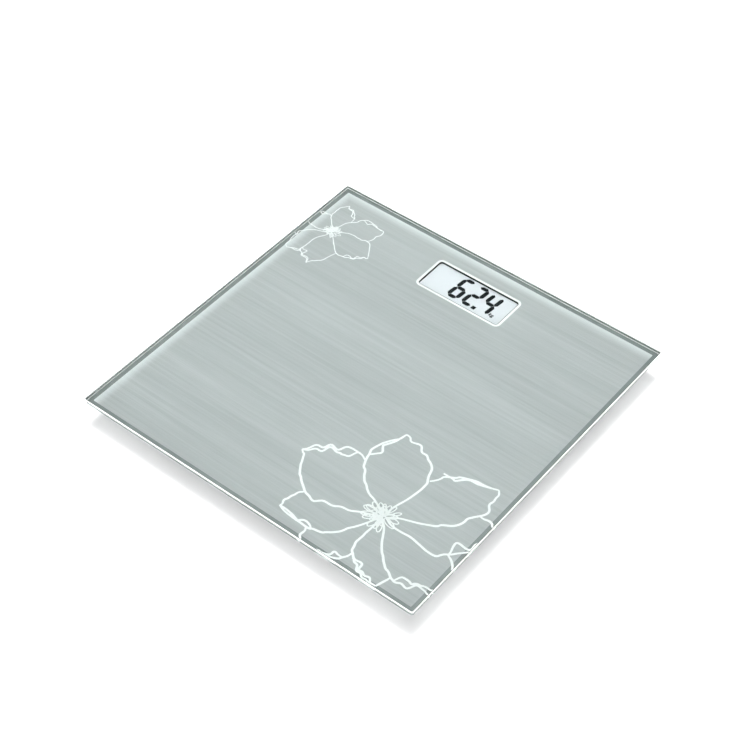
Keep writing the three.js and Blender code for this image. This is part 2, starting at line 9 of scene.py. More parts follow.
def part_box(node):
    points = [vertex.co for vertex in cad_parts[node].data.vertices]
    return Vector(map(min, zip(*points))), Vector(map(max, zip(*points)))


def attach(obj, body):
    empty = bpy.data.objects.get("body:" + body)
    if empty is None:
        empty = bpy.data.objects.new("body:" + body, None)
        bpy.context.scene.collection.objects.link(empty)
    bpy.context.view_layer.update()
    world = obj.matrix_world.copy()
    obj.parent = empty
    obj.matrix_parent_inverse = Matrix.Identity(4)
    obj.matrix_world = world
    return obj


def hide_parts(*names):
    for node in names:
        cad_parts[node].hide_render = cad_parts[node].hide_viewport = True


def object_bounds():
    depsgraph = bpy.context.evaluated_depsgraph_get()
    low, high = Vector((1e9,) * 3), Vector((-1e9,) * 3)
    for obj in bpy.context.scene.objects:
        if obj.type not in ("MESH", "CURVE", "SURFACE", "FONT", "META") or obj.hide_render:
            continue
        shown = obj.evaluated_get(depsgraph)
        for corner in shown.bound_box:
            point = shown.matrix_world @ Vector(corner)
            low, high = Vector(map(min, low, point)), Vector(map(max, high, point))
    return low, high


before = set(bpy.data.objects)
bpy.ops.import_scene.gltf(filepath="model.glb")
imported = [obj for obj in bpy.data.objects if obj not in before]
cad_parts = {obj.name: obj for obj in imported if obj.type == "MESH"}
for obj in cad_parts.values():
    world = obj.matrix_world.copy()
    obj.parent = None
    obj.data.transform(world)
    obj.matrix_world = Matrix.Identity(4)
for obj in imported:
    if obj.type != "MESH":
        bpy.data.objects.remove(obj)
cad_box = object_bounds()


# ------------------------------------------------------------------ camera
# An 85 mm portrait lens on a full frame looks down at the platform over its front right corner,
# from about 1.3 m, so that the far sides draw in only a little.

MM = 0.001
top_of_glass = cad_box[1][2]

camera_azimuth = math.radians(38.73)
camera_elevation = math.radians(46.95)
camera_distance = 1.2953
camera_target = Vector((-1.02 * MM, -0.37 * MM, top_of_glass - 0.35 * MM))

towards_camera = Vector((
    math.sin(camera_azimuth) * math.cos(camera_elevation),
    -math.cos(camera_azimuth) * math.cos(camera_elevation),
    math.sin(camera_elevation),
))
lens = bpy.data.cameras.new("portrait_lens")
lens.sensor_width = 36
lens.lens = 85.1
lens.clip_start = 0.05
camera = bpy.data.objects.new("camera", lens)
bpy.context.scene.collection.objects.link(camera)
camera.location = camera_target + camera_distance * towards_camera
camera.rotation_euler = (-towards_camera).to_track_quat("-Z", "Y").to_euler()
bpy.context.scene.camera = camera


# ------------------------------------------------------------------ studio
# A seamless pale floor under three soft boxes: one behind and above the scale, which throws its
# soft shadow towards the lens, one on the ceiling and a wide fill in front. The surround is faint.

def new_material(name):
    """An empty node material, with its node tree and its output node."""
    material = bpy.data.materials.new(name)
    material.use_nodes = True
    tree = material.node_tree
    tree.nodes.clear()
    output = tree.nodes.new("ShaderNodeOutputMaterial")
    return material, tree, output


def principled(tree, output, colour, roughness, **sockets):
    """A Principled shader wired to the output, with constants set on its own sockets."""
    shader = tree.nodes.new("ShaderNodeBsdfPrincipled")
    shader.inputs["Base Color"].default_value = (*colour, 1)
    shader.inputs["Roughness"].default_value = roughness
    for socket, value in sockets.items():
        shader.inputs[socket.replace("_", " ")].default_value = value
    tree.links.new(shader.outputs[0], output.inputs["Surface"])
    return shader


def object_point(tree, scale=(1, 1, 1), turn=(0, 0, 0)):
    """Object coordinates through a Mapping node, so that a pattern can be stretched or turned."""
    coordinates = tree.nodes.new("ShaderNodeTexCoord")
    mapping = tree.nodes.new("ShaderNodeMapping")
    mapping.inputs["Scale"].default_value = scale
    mapping.inputs["Rotation"].default_value = turn
    tree.links.new(coordinates.outputs["Object"], mapping.inputs["Vector"])
    return mapping.outputs["Vector"]


def noise_at(tree, point, scale, detail=2.0, roughness=0.5):
    """A noise texture's value at a point."""
    node = tree.nodes.new("ShaderNodeTexNoise")
    node.inputs["Scale"].default_value = scale
    node.inputs["Detail"].default_value = detail
    node.inputs["Roughness"].default_value = roughness
    tree.links.new(point, node.inputs["Vector"])
    return node.outputs["Fac"]


def between(tree, value, low, high, span=(0.3, 0.7)):
    """Spreads a value's usual span over low to high."""
    node = tree.nodes.new("ShaderNodeMapRange")
    node.inputs["From Min"].default_value, node.inputs["From Max"].default_value = span
    node.inputs["To Min"].default_value = low
    node.inputs["To Max"].default_value = high
    tree.links.new(value, node.inputs["Value"])
    return node.outputs["Result"]


def coloured(tree, shader, value, dark, light):
    """Colours a shader between dark and light, by a value from 0 to 1."""
    ramp = tree.nodes.new("ShaderNodeValToRGB")
    ramp.color_ramp.elements[0].color = (*dark, 1)
    ramp.color_ramp.elements[1].color = (*light, 1)
    tree.links.new(value, ramp.inputs["Fac"])
    tree.links.new(ramp.outputs["Color"], shader.inputs["Base Color"])
    return ramp.outputs["Color"]


def roughened(tree, shader, value, low, high):
    """Varies a shader's roughness from low to high over a value's usual span."""
    tree.links.new(between(tree, value, low, high), shader.inputs["Roughness"])


def reckoned(tree, operation, *values):
    """The result of a Math node, whose values are sockets or numbers."""
    node = tree.nodes.new("ShaderNodeMath")
    node.operation = operation
    for socket, value in zip(node.inputs, values):
        if isinstance(value, (int, float)):
            socket.default_value = value
        else:
            tree.links.new(value, socket)
    return node.outputs[0]


def bumped(tree, shader, height, distance, strength=1.0):
    """Gives a shader a bump of that many metres from a height."""
    bump = tree.nodes.new("ShaderNodeBump")
    bump.inputs["Strength"].default_value = strength
    bump.inputs["Distance"].default_value = distance
    tree.links.new(height, bump.inputs["Height"])
    tree.links.new(bump.outputs["Normal"], shader.inputs["Normal"])


def new_object(name, mesh, material=None):
    """A linked object at the origin for a finished mesh."""
    piece = bpy.data.objects.new(name, mesh)
    bpy.context.scene.collection.objects.link(piece)
    if material:
        mesh.materials.clear()
        mesh.materials.append(material)
    return piece


floor_material, tree, output = new_material("studio_floor")
principled(tree, output, (0.93, 0.93, 0.93), 0.9, Specular_IOR_Level=0.1)
floor_mesh = bpy.data.meshes.new("studio_floor")
floor_reach = 6.0
floor_z = cad_box[0][2] - 0.05 * MM
floor_mesh.from_pydata(
    [(floor_reach * u, floor_reach * v, floor_z) for u, v in ((-1, -1), (1, -1), (1, 1), (-1, 1))],
    [],
    [(0, 1, 2, 3)],
)
studio_floor = new_object("studio_floor", floor_mesh, floor_material)

surround = bpy.data.worlds.new("white_surround")
bpy.context.scene.world = surround
bpy.context.scene.view_settings.view_transform = "Standard"
surround.use_nodes = True
background = surround.node_tree.nodes["Background"]
background.inputs["Color"].default_value = (0.97, 0.985, 1, 1)
background.inputs["Strength"].default_value = 0.1


def soft_box(name, azimuth, elevation, distance, size, watts):
    """A square soft box that faces the middle of the platform. Azimuth 0 is the lens's own side."""
    light = bpy.data.lights.new(name, "AREA")
    light.shape = "SQUARE"
    light.size = size
    light.energy = watts
    lamp = bpy.data.objects.new(name, light)
    bpy.context.scene.collection.objects.link(lamp)
    turn = camera_azimuth + math.radians(azimuth)
    rise = math.radians(elevation)
    direction = Vector((
        math.sin(turn) * math.cos(rise),
        -math.cos(turn) * math.cos(rise),
        math.sin(rise),
    ))
    lamp.location = direction * distance
    lamp.rotation_euler = (-direction).to_track_quat("-Z", "Y").to_euler()
    return lamp


for lamp in (
    soft_box("back_soft_box", 180, 66, 1.9, 0.9, 62),
    soft_box("ceiling_soft_box", 0, 90, 2.3, 2.0, 25),
    soft_box("front_fill_box", 0, 28, 4.2, 3.2, 195),
):
    lamp.visible_glossy = False


# ------------------------------------------------------------------ glass platform
# One square sheet of clear tempered glass, five millimetres thick. Its edge is ground in bands: a
# white arris above and below and a nearly clear side. Beside each arris runs a thin rim of painted
# shade, for the dark line along the glass's edges. All the rest is bonded under it.

def rounded_loop(box, inset, z, radius, steps=8):
    """Points of a rounded rectangle, inset from box ((x0, y0), (x1, y1)), counter-clockwise."""
    (x0, y0), (x1, y1) = box
    x0, y0, x1, y1 = x0 + inset, y0 + inset, x1 - inset, y1 - inset
    r = max(radius - inset, 0.02 * MM)
    corners = [(x1 - r, y1 - r, 0), (x0 + r, y1 - r, 90), (x0 + r, y0 + r, 180), (x1 - r, y0 + r, 270)]
    points = []
    for cx, cy, start in corners:
        for i in range(steps + 1):
            angle = math.radians(start + 90 * i / steps)
            points.append((cx + r * math.cos(angle), cy + r * math.sin(angle), z))
    return points


def walled(shape, rings, joined=False):
    """Adds the walls between one ring and the next to a bmesh, and from the last to the first."""
    following = rings[1:] + rings[:1] if joined else rings[1:]
    for lower, upper in zip(rings, following):
        for i in range(len(lower)):
            j = (i + 1) % len(lower)
            shape.faces.new((lower[i], lower[j], upper[j], upper[i]))


def finished(name, shape, smooth_degrees=None):
    """The mesh of a bmesh with its faces outwards, smooth but for edges sharper than an angle."""
    mesh = bpy.data.meshes.new(name)
    bmesh.ops.recalc_face_normals(shape, faces=shape.faces)
    shape.to_mesh(mesh)
    shape.free()
    if smooth_degrees:
        mesh.shade_smooth()
        mesh.set_sharp_from_angle(angle=math.radians(smooth_degrees))
    return mesh


def swept_solid(name, loops, smooth_degrees):
    """A closed solid through loops of equal length, from the lowest cap to the last one."""
    shape = bmesh.new()
    rings = [[shape.verts.new(point) for point in loop] for loop in loops]
    shape.faces.new(reversed(rings[0]))
    shape.faces.new(rings[-1])
    walled(shape, rings)
    return finished(name, shape, smooth_degrees)


def plan(low, high):
    """The plan rectangle of two corners."""
    return (low[0], low[1]), (high[0], high[1])


glass_low, glass_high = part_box("glass_platform")
glass_corner = 1.5 * MM
GLASS_PROFILE = [
    (0.9 * MM, glass_low.z, "arris"),
    (0.3 * MM, glass_low.z + 0.6 * MM, "rim"),
    (0, glass_low.z + 0.98 * MM, "side"),
    (0, glass_high.z - 1.85 * MM, "arris"),
    (0.08 * MM, glass_high.z - 0.08 * MM, "rim"),
    (0.45 * MM, glass_high.z, "top"),
]
glass_mesh = swept_solid("glass_platform_sheet", [
    rounded_loop(plan(glass_low, glass_high), inset, z, glass_corner, steps=16)
    for inset, z, _ in GLASS_PROFILE
], 7)

clear_glass, tree, output = new_material("clear_tempered_glass")
principled(
    tree, output, (0.985, 0.995, 0.99), 0.0, Transmission_Weight=1.0, IOR=1.52, Specular_IOR_Level=0.5,
)
absorbing = tree.nodes.new("ShaderNodeVolumeAbsorption")
absorbing.inputs["Color"].default_value = (0.5, 0.72, 0.64, 1)
absorbing.inputs["Density"].default_value = 14
tree.links.new(absorbing.outputs[0], output.inputs["Volume"])

ground_arris, tree, output = new_material("ground_glass_arris")
arris_shader = principled(tree, output, (0.97, 0.985, 0.98), 0.4, Transmission_Weight=0.12, IOR=1.52)
grinding = noise_at(tree, object_point(tree), 2600, 3.0, 0.7)
roughened(tree, arris_shader, grinding, 0.25, 0.45)
bumped(tree, arris_shader, grinding, 0.01 * MM, 0.4)

ground_side, tree, output = new_material("ground_glass_side")
side_shader = principled(tree, output, (0.62, 0.72, 0.69), 0.03, Transmission_Weight=0.95, IOR=1.52)
wheel_marks = noise_at(tree, object_point(tree, (1, 1, 6)), 700, 3.0, 0.6)
roughened(tree, side_shader, wheel_marks, 0.0, 0.08)
bumped(tree, side_shader, wheel_marks, 0.01 * MM, 0.4)

# Painted shade: a dark, nearly opaque rim beside each arris stands in for the dark line that clear glass
# shows along its edges.
painted_shade_rim, tree, output = new_material("painted_shade_glass_rim")
shade_rim_shader = principled(tree, output, (0.07, 0.09, 0.085), 0.5, Transmission_Weight=0.2, IOR=1.52)
shade_rim_mottle = noise_at(tree, object_point(tree), 900, 3.0, 0.6)
coloured(tree, shade_rim_shader, shade_rim_mottle, (0.05, 0.066, 0.062), (0.09, 0.115, 0.108))

glass_piece = new_object("glass_platform_sheet", glass_mesh, clear_glass)
for edge_finish in (ground_arris, ground_side, painted_shade_rim):
    glass_mesh.materials.append(edge_finish)
FINISHES = {"top": 0, "arris": 1, "side": 2, "rim": 3}
CAPS = 2
loop_size = len(glass_mesh.vertices) // len(GLASS_PROFILE)
for face in glass_mesh.polygons[CAPS:]:
    band = (face.index - CAPS) // loop_size
    face.material_index = FINISHES[GLASS_PROFILE[band][2]]
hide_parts("glass_platform")
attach(glass_piece, "platform")


# ------------------------------------------------------------------ brushed backing
# The underside is printed with a silver ink, drawn out in fine streaks along X like brushed metal.
# Along the two far sides it is painted paler, a painted band of light for the light those edges of
# the glass let in. It is wetted to the glass, so its upper face lies just inside the sheet.

ink_depth = 0.02 * MM
film_low, film_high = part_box("backing_film")
outline_low, outline_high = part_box("window_outline")
outline_width = 2.0 * MM
window_radius = 2.5 * MM

brushed_silver, tree, output = new_material("brushed_silver_print")
silver = principled(tree, output, (0.36, 0.39, 0.385), 0.55, Metallic=0.03, Specular_IOR_Level=0.12)
fine_streaks = noise_at(tree, object_point(tree, (16, 1100, 1100)), 1.0, 3.0, 0.7)
long_streaks = noise_at(tree, object_point(tree, (7, 420, 420)), 1.0, 3.0, 0.6)
broad_bands = noise_at(tree, object_point(tree, (3, 70, 70)), 0.6, 2.0, 0.5)
mixed = reckoned(tree, "MULTIPLY_ADD", fine_streaks, 0.8, long_streaks)
summed = reckoned(tree, "ADD", mixed, between(tree, broad_bands, 0.4, 0.6))
streaks = between(tree, summed, 0.0, 1.0, (1.05, 1.75))
drawn = coloured(tree, silver, streaks, (0.405, 0.425, 0.427), (0.515, 0.54, 0.543))
roughened(tree, silver, fine_streaks, 0.48, 0.65)
bumped(tree, silver, fine_streaks, 0.03 * MM, 0.5)

# Painted light: within 13 mm of the two far sides the silver is blended towards a pale colour, for the
# light that comes in through those edges of the glass.
axes = tree.nodes.new("ShaderNodeSeparateXYZ")
tree.links.new(object_point(tree, (-1, 1, 1)), axes.inputs[0])
rearward = reckoned(tree, "MAXIMUM", axes.outputs["X"], axes.outputs["Y"])
painted_edge_light = tree.nodes.new("ShaderNodeMapRange")
painted_edge_light.interpolation_type = "SMOOTHERSTEP"
painted_edge_light.inputs["From Min"].default_value = film_high.x - 13 * MM
painted_edge_light.inputs["From Max"].default_value = film_high.x - 2 * MM
painted_edge_light.inputs["To Max"].default_value = 0.55
tree.links.new(rearward, painted_edge_light.inputs["Value"])
painted_light_mix = tree.nodes.new("ShaderNodeMix")
painted_light_mix.data_type = "RGBA"
painted_light_mix.inputs["B"].default_value = (0.9, 0.95, 0.945, 1)
tree.links.new(painted_edge_light.outputs["Result"], painted_light_mix.inputs["Factor"])
tree.links.new(drawn, painted_light_mix.inputs["A"])
tree.links.new(painted_light_mix.outputs["Result"], silver.inputs["Base Color"])


def framed_sheet(name, outer, outer_radius, hole, hole_radius, low, high):
    """A flat sheet with one rounded window, as a closed solid. Both outlines have equal points."""
    steps = 8
    loops = [
        rounded_loop(outer, 0, low, outer_radius, steps),
        rounded_loop(outer, 0, high, outer_radius, steps),
        rounded_loop(hole, 0, high, hole_radius, steps),
        rounded_loop(hole, 0, low, hole_radius, steps),
    ]
    shape = bmesh.new()
    walled(shape, [[shape.verts.new(point) for point in loop] for loop in loops], joined=True)
    return finished(name, shape)


def drawn_in(low, high, inset):
    """A plan rectangle drawn in by that much on every side."""
    return (low[0] + inset, low[1] + inset), (high[0] - inset, high[1] - inset)


print_inset = 3.5 * MM
print_corner = 0.8 * MM
film_plan = drawn_in(film_low, film_high, print_inset)
film_mesh = framed_sheet(
    "brushed_backing_print",
    film_plan, print_corner,
    plan(outline_low, outline_high), window_radius + outline_width,
    film_low.z, film_high.z + ink_depth,
)
film_piece = new_object("brushed_backing_print", film_mesh, brushed_silver)
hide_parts("backing_film")
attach(film_piece, "platform")


# ------------------------------------------------------------------ grey border of painted shade
# A darker grey band runs round the silver, out to the edge of the sheet. It is painted shade, for
# the dark ground and shadow seen through a clear margin of the glass. It lies in the same layer as
# the silver, and the two meet edge to edge.

# Painted shade: this grey band stands in for the dark seen through the glass's clear margin.
shade_border, tree, output = new_material("painted_shade_border")
shade_border_shader = principled(tree, output, (0.2, 0.23, 0.225), 0.4)
shade_border_mottle = noise_at(tree, object_point(tree, (60, 900, 900)), 1.0, 2.0)
coloured(tree, shade_border_shader, shade_border_mottle, (0.15, 0.18, 0.175), (0.2, 0.23, 0.225))
shade_border_mesh = framed_sheet(
    "grey_border_print",
    plan(film_low, film_high), print_corner,
    film_plan, print_corner,
    film_low.z, film_high.z + ink_depth,
)
shade_border_piece = new_object("grey_border_print", shade_border_mesh, shade_border)
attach(shade_border_piece, "platform")


# ------------------------------------------------------------------ window outline
# A white printed line round the display window, two millimetres wide, in the same opaque ink as
# the flowers.

white_ink, tree, output = new_material("white_screen_ink")
ink = principled(tree, output, (0.93, 0.95, 0.945), 0.45)
mottle = noise_at(tree, object_point(tree), 900, 3.0)
coloured(tree, ink, mottle, (0.88, 0.905, 0.9), (0.96, 0.975, 0.97))

window_low = Vector((outline_low.x + outline_width, outline_low.y + outline_width, outline_low.z))
window_high = Vector((outline_high.x - outline_width, outline_high.y - outline_width, outline_high.z))
outline_mesh = framed_sheet(
    "window_outline_print",
    plan(outline_low, outline_high), window_radius + outline_width,
    plan(window_low, window_high), window_radius,
    outline_low.z, outline_high.z + ink_depth,
)
outline_piece = new_object("window_outline_print", outline_mesh, white_ink)
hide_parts("window_outline")
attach(outline_piece, "platform")


# ------------------------------------------------------------------ window gasket
# A thin strip of black foam lines the opening in the housing's plate, from the display's face up to
# the glass, and keeps dust out of the window. Its black is partly painted shade: it darkens the line
# along the window's far inner edges, where the recess wall lies in shade.

foam_gasket_and_shade, tree, output = new_material("black_foam_gasket_and_shade")
foam = principled(tree, output, (0.02, 0.021, 0.022), 0.9, Specular_IOR_Level=0.1)
pores = noise_at(tree, object_point(tree), 3800, 3.0, 0.7)
coloured(tree, foam, pores, (0.012, 0.013, 0.014), (0.035, 0.036, 0.038))
bumped(tree, foam, pores, 0.03 * MM, 0.7)

gasket_clear = 0.04 * MM
gasket_wall = 0.4 * MM
gasket_gap = 0.03 * MM
gasket_mesh = framed_sheet(
    "window_gasket_strip",
    drawn_in(window_low, window_high, gasket_clear), window_radius - gasket_clear,
    drawn_in(window_low, window_high, gasket_wall), window_radius - gasket_wall,
    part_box("lcd_panel")[1].z + gasket_gap, glass_low.z - gasket_gap,
)
gasket_piece = new_object("window_gasket_strip", gasket_mesh, foam_gasket_and_shade)
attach(gasket_piece, "platform")


# ------------------------------------------------------------------ line flowers
# Two open blossoms drawn in white line, one large in the front right corner and one small in the
# back left, both running off the edge of the glass. The petals that lie in front hide the lines
# of those behind, and a tuft of looped stamens fills the middle.

PETAL_SIDE = [(0, 0.02), (0.1, 0.07), (0.28, 0.2), (0.5, 0.3), (0.7, 0.3), (0.84, 0.19), (0.93, 0.08)]
PETAL_TIP = (1, 0)
FOLD = [(0.66, 0.31), (0.72, 0.19), (0.8, 0.2), (0.88, 0.1), (1, 0)]
stroke_thickness = 0.012 * MM


def through(points, steps=14):
    """A smooth open line through given points."""
    points = [Vector(p) for p in points]
    padded = [2 * points[0] - points[1]] + points + [2 * points[-1] - points[-2]]
    line = []
    for a, b, c, d in zip(padded, padded[1:], padded[2:], padded[3:]):
        for i in range(steps):
            t = i / steps
            line.append(0.5 * (
                2 * b + (c - a) * t + (2 * a - 5 * b + 4 * c - d) * t * t + (3 * b - a - 3 * c + d) * t ** 3
            ))
    line.append(points[-1])
    return line


def petal_lines(centre, bearing, length, breadth, bend, seed):
    """The two wavering sides and the folded edge of one petal, as lines in plan."""
    rng = random.Random(seed)
    wave = [rng.uniform(-0.04, 0.04) for _ in PETAL_SIDE]
    wave_length, wave_height = 0.09 * length, 0.045 * length

    def placed(points):
        turned = []
        for along, across in points:
            across = across * breadth + bend * along * along
            turned.append((along * length, across * length))
        cosine, sine = math.cos(bearing), math.sin(bearing)
        line = []
        for p in through(turned):
            sway = noise.noise(Vector((seed * 7.3, p.x / wave_length, p.y / wave_length)))
            p = p + p.length / length * wave_height * Vector((sway, -sway))
            line.append(centre + Vector((p.x * cosine - p.y * sine, p.x * sine + p.y * cosine)))
        return line

    left = [(u, v + w) for (u, v), w in zip(PETAL_SIDE, wave)] + [PETAL_TIP]
    right = [(u + 0.02, -v + 0.7 * w) for (u, v), w in zip(PETAL_SIDE, reversed(wave))] + [PETAL_TIP]
    side = rng.choice((-1, 1))
    fold = [(u, side * v) for u, v in FOLD]
    return placed(left), placed(right), placed(fold)


def inside(point, polygon):
    """Is a point in plan inside a closed polygon?"""
    within = False
    for a, b in zip(polygon, polygon[1:] + polygon[:1]):
        if (a.y > point.y) != (b.y > point.y):
            if point.x < (b.x - a.x) * (point.y - a.y) / (b.y - a.y) + a.x:
                within = not within
    return within


def kept_runs(line, hidden_by, limit):
    """The stretches of a line that no nearer petal hides and that lie on the glass."""
    runs, run = [], []
    for point in line:
        on_glass = abs(point.x) < limit and abs(point.y) < limit
        if on_glass and not any(inside(point, petal) for petal in hidden_by):
            run.append(point)
            continue
        if len(run) > 2:
            runs.append(run)
        run = []
    if len(run) > 2:
        runs.append(run)
    return runs


def inked(name, runs, width, z, swell=0.35):
    """Flat strokes of ink along runs of points, a little broader in their middle, as thin solids."""
    shape = bmesh.new()
    for order, run in enumerate(runs):
        last = len(run) - 1
        low = z + 0.0004 * MM * order
        sides = []
        for i, point in enumerate(run):
            ahead = run[min(i + 1, last)] - run[max(i - 1, 0)]
            if ahead.length < 1e-9:
                continue
            normal = Vector((-ahead.y, ahead.x)).normalized()
            half = 0.5 * width * (1 + swell * math.sin(math.pi * i / last) - 0.25 * swell)
            sides.append((point + half * normal, point - half * normal))
        rings = []
        for left, right in sides:
            rings.append([
                shape.verts.new((left.x, left.y, low)),
                shape.verts.new((right.x, right.y, low)),
                shape.verts.new((right.x, right.y, low + stroke_thickness)),
                shape.verts.new((left.x, left.y, low + stroke_thickness)),
            ])
        walled(shape, rings)
        shape.faces.new(rings[0])
        shape.faces.new(rings[-1])
    return finished(name, shape)


def sized_tree(name, sizes):
    """An empty geometry-nodes tree with named inputs for its sizes, and its two ends."""
    tree = bpy.data.node_groups.new(name, "GeometryNodeTree")
    tree.interface.new_socket("Geometry", in_out="INPUT", socket_type="NodeSocketGeometry")
    tree.interface.new_socket("Geometry", in_out="OUTPUT", socket_type="NodeSocketGeometry")
    for label, value in sizes.items():
        kind = "NodeSocketInt" if isinstance(value, int) else "NodeSocketFloat"
        tree.interface.new_socket(label, in_out="INPUT", socket_type=kind).default_value = value
    return tree, tree.nodes.new("NodeGroupInput"), tree.nodes.new("NodeGroupOutput")


def stamen_tree(name, count, reach, loop_length, loop_width, nib_width, seed):
    """Geometry nodes: narrow loops scattered round a centre, each pointing outwards."""
    tree, group_in, group_out = sized_tree(name, {
        "Count": count, "Reach": reach, "Loop Length": loop_length, "Loop Width": loop_width,
    })
    node, link = tree.nodes.new, tree.links.new

    points = node("GeometryNodePoints")
    link(group_in.outputs["Count"], points.inputs["Count"])
    bearing = node("FunctionNodeRandomValue")
    bearing.inputs["Max"].default_value = 2 * math.pi
    bearing.inputs["Seed"].default_value = seed
    out = node("FunctionNodeRandomValue")
    out.inputs["Min"].default_value = 0.3
    out.inputs["Seed"].default_value = seed + 1
    away = reckoned(tree, "MULTIPLY", out.outputs["Value"], group_in.outputs["Reach"])
    offset = node("ShaderNodeCombineXYZ")
    link(away, offset.inputs["X"])
    order = node("GeometryNodeInputIndex")
    lift = reckoned(tree, "MULTIPLY", order.outputs[0], 0.001 * MM)
    link(lift, offset.inputs["Z"])
    spin = node("ShaderNodeVectorRotate")
    spin.rotation_type = "Z_AXIS"
    link(offset.outputs[0], spin.inputs["Vector"])
    link(bearing.outputs["Value"], spin.inputs["Angle"])
    link(spin.outputs[0], points.inputs["Position"])

    ring = node("GeometryNodeCurvePrimitiveCircle")
    ring.inputs["Resolution"].default_value = 14
    ring.inputs["Radius"].default_value = 1.0
    squeeze = node("GeometryNodeTransform")
    shape = node("ShaderNodeCombineXYZ")
    link(group_in.outputs["Loop Length"], shape.inputs["X"])
    link(group_in.outputs["Loop Width"], shape.inputs["Y"])
    shape.inputs["Z"].default_value = 1.0
    link(ring.outputs["Curve"], squeeze.inputs["Geometry"])
    link(shape.outputs[0], squeeze.inputs["Scale"])
    place = node("GeometryNodeInstanceOnPoints")
    turn = node("ShaderNodeCombineXYZ")
    link(bearing.outputs["Value"], turn.inputs["Z"])
    link(points.outputs[0], place.inputs["Points"])
    link(squeeze.outputs[0], place.inputs["Instance"])
    link(turn.outputs[0], place.inputs["Rotation"])
    vary = node("FunctionNodeRandomValue")
    vary.inputs["Min"].default_value = 0.7
    vary.inputs["Max"].default_value = 1.3
    vary.inputs["Seed"].default_value = seed + 2
    link(vary.outputs["Value"], place.inputs["Scale"])
    real = node("GeometryNodeRealizeInstances")
    link(place.outputs[0], real.inputs[0])

    nib = node("GeometryNodeCurvePrimitiveQuadrilateral")
    nib.inputs["Width"].default_value = nib_width
    nib.inputs["Height"].default_value = stroke_thickness
    sweep = node("GeometryNodeCurveToMesh")
    link(real.outputs[0], sweep.inputs["Curve"])
    link(nib.outputs[0], sweep.inputs["Profile Curve"])
    paint = node("GeometryNodeSetMaterial")
    paint.inputs["Material"].default_value = white_ink
    link(sweep.outputs[0], paint.inputs["Geometry"])
    link(paint.outputs[0], group_out.inputs["Geometry"])
    return tree


def plain_mesh(name, worked):
    """The evaluated mesh of a working object, which is then removed."""
    evaluated = worked.evaluated_get(bpy.context.evaluated_depsgraph_get())
    mesh = bpy.data.meshes.new_from_object(evaluated)
    mesh.name = name
    bpy.data.objects.remove(worked)
    return mesh


def made_by(name, tree, values=None):
    """The plain mesh that a geometry-nodes tree makes on an empty mesh, with its inputs' values."""
    carrier = new_object(name + "_carrier", bpy.data.meshes.new(name + "_carrier"))
    modifier = carrier.modifiers.new("nodes", "NODES")
    modifier.node_group = tree
    for item in tree.interface.items_tree:
        if item.name in (values or {}):
            modifier[item.identifier] = values[item.name]
    return plain_mesh(name, carrier)


print_limit = film_high.x - 0.1 * MM
line_z = film_high.z + 1.6 * ink_depth
tuft_reach, stamen_length, stamen_width = 0.13, 0.05, 0.019


def flower(name, centre, size, width, petals, seed, stamens, nib_width):
    """One blossom: petals are (bearing in degrees, length, breadth, bend), nearest first."""
    centre = Vector(centre)
    runs, nearer = [], []
    for i, (bearing, length, breadth, bend) in enumerate(petals):
        left, right, fold = petal_lines(
            centre, math.radians(bearing), length * size, breadth, bend, seed + i,
        )
        for line in (left, right, fold):
            runs += kept_runs(line, nearer, print_limit)
        nearer.append(left + right[::-1])
    piece = new_object(name, inked(name, runs, width, line_z), white_ink)
    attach(piece, "platform")

    tuft = made_by(name + "_stamens", stamen_tree(
        name + "_stamens", stamens,
        tuft_reach * size, stamen_length * size, stamen_width * size, nib_width, seed,
    ))
    tuft.transform(Matrix.Translation((centre.x, centre.y, line_z + 0.5 * ink_depth)))
    tuft_piece = new_object(name + "_stamens", tuft)
    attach(tuft_piece, "platform")


flower("large_flower_print", (84 * MM, -98 * MM), 84 * MM, 1.45 * MM, [
    (112, 0.9, 1.0, 0.06),
    (58, 0.98, 0.85, -0.05),
    (166, 0.98, 1.0, 0.1),
    (214, 0.85, 0.8, -0.06),
    (24, 0.92, 1.0, 0.08),
    (-22, 0.9, 0.9, 0.05),
    (-62, 0.7, 0.9, 0.1),
    (-112, 0.72, 1.1, -0.08),
], 11, 32, 0.95 * MM)
flower("small_flower_print", (-126 * MM, 101 * MM), 44 * MM, 0.62 * MM, [
    (-12, 0.95, 1.0, 0.06),
    (-76, 0.9, 1.0, -0.06),
    (44, 0.92, 0.95, -0.08),
    (100, 0.75, 0.9, 0.08),
    (-118, 0.9, 0.9, 0.05),
    (160, 0.7, 1.0, 0.1),
    (208, 0.8, 1.0, -0.05),
], 23, 34, 0.5 * MM)


# ------------------------------------------------------------------ liquid-crystal display
# A reflective display: two bonded panes whose front face lies a little under the window. It shows
# three slanted seven-segment figures with a point, and the small unit sign beside them.

lcd_pane, tree, output = new_material("reflective_lcd_pane")
pane = principled(tree, output, (0.6, 0.64, 0.66), 0.4, Specular_IOR_Level=0.0)
pane_mottle = noise_at(tree, object_point(tree), 2500, 2.0)
coloured(tree, pane, pane_mottle, (0.65, 0.67, 0.705), (0.69, 0.71, 0.745))


def finish_node(node, material):
    """Gives a CAD node its material."""
    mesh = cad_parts[node].data
    mesh.materials.clear()
    mesh.materials.append(material)


finish_node("lcd_panel", lcd_pane)

lcd_segment, tree, output = new_material("dark_lcd_segment")
segment_shader = principled(tree, output, (0.006, 0.007, 0.009), 0.5, Specular_IOR_Level=0.0)
segment_mottle = noise_at(tree, object_point(tree), 1800, 2.0)
coloured(tree, segment_shader, segment_mottle, (0.004, 0.005, 0.006), (0.009, 0.01, 0.013))

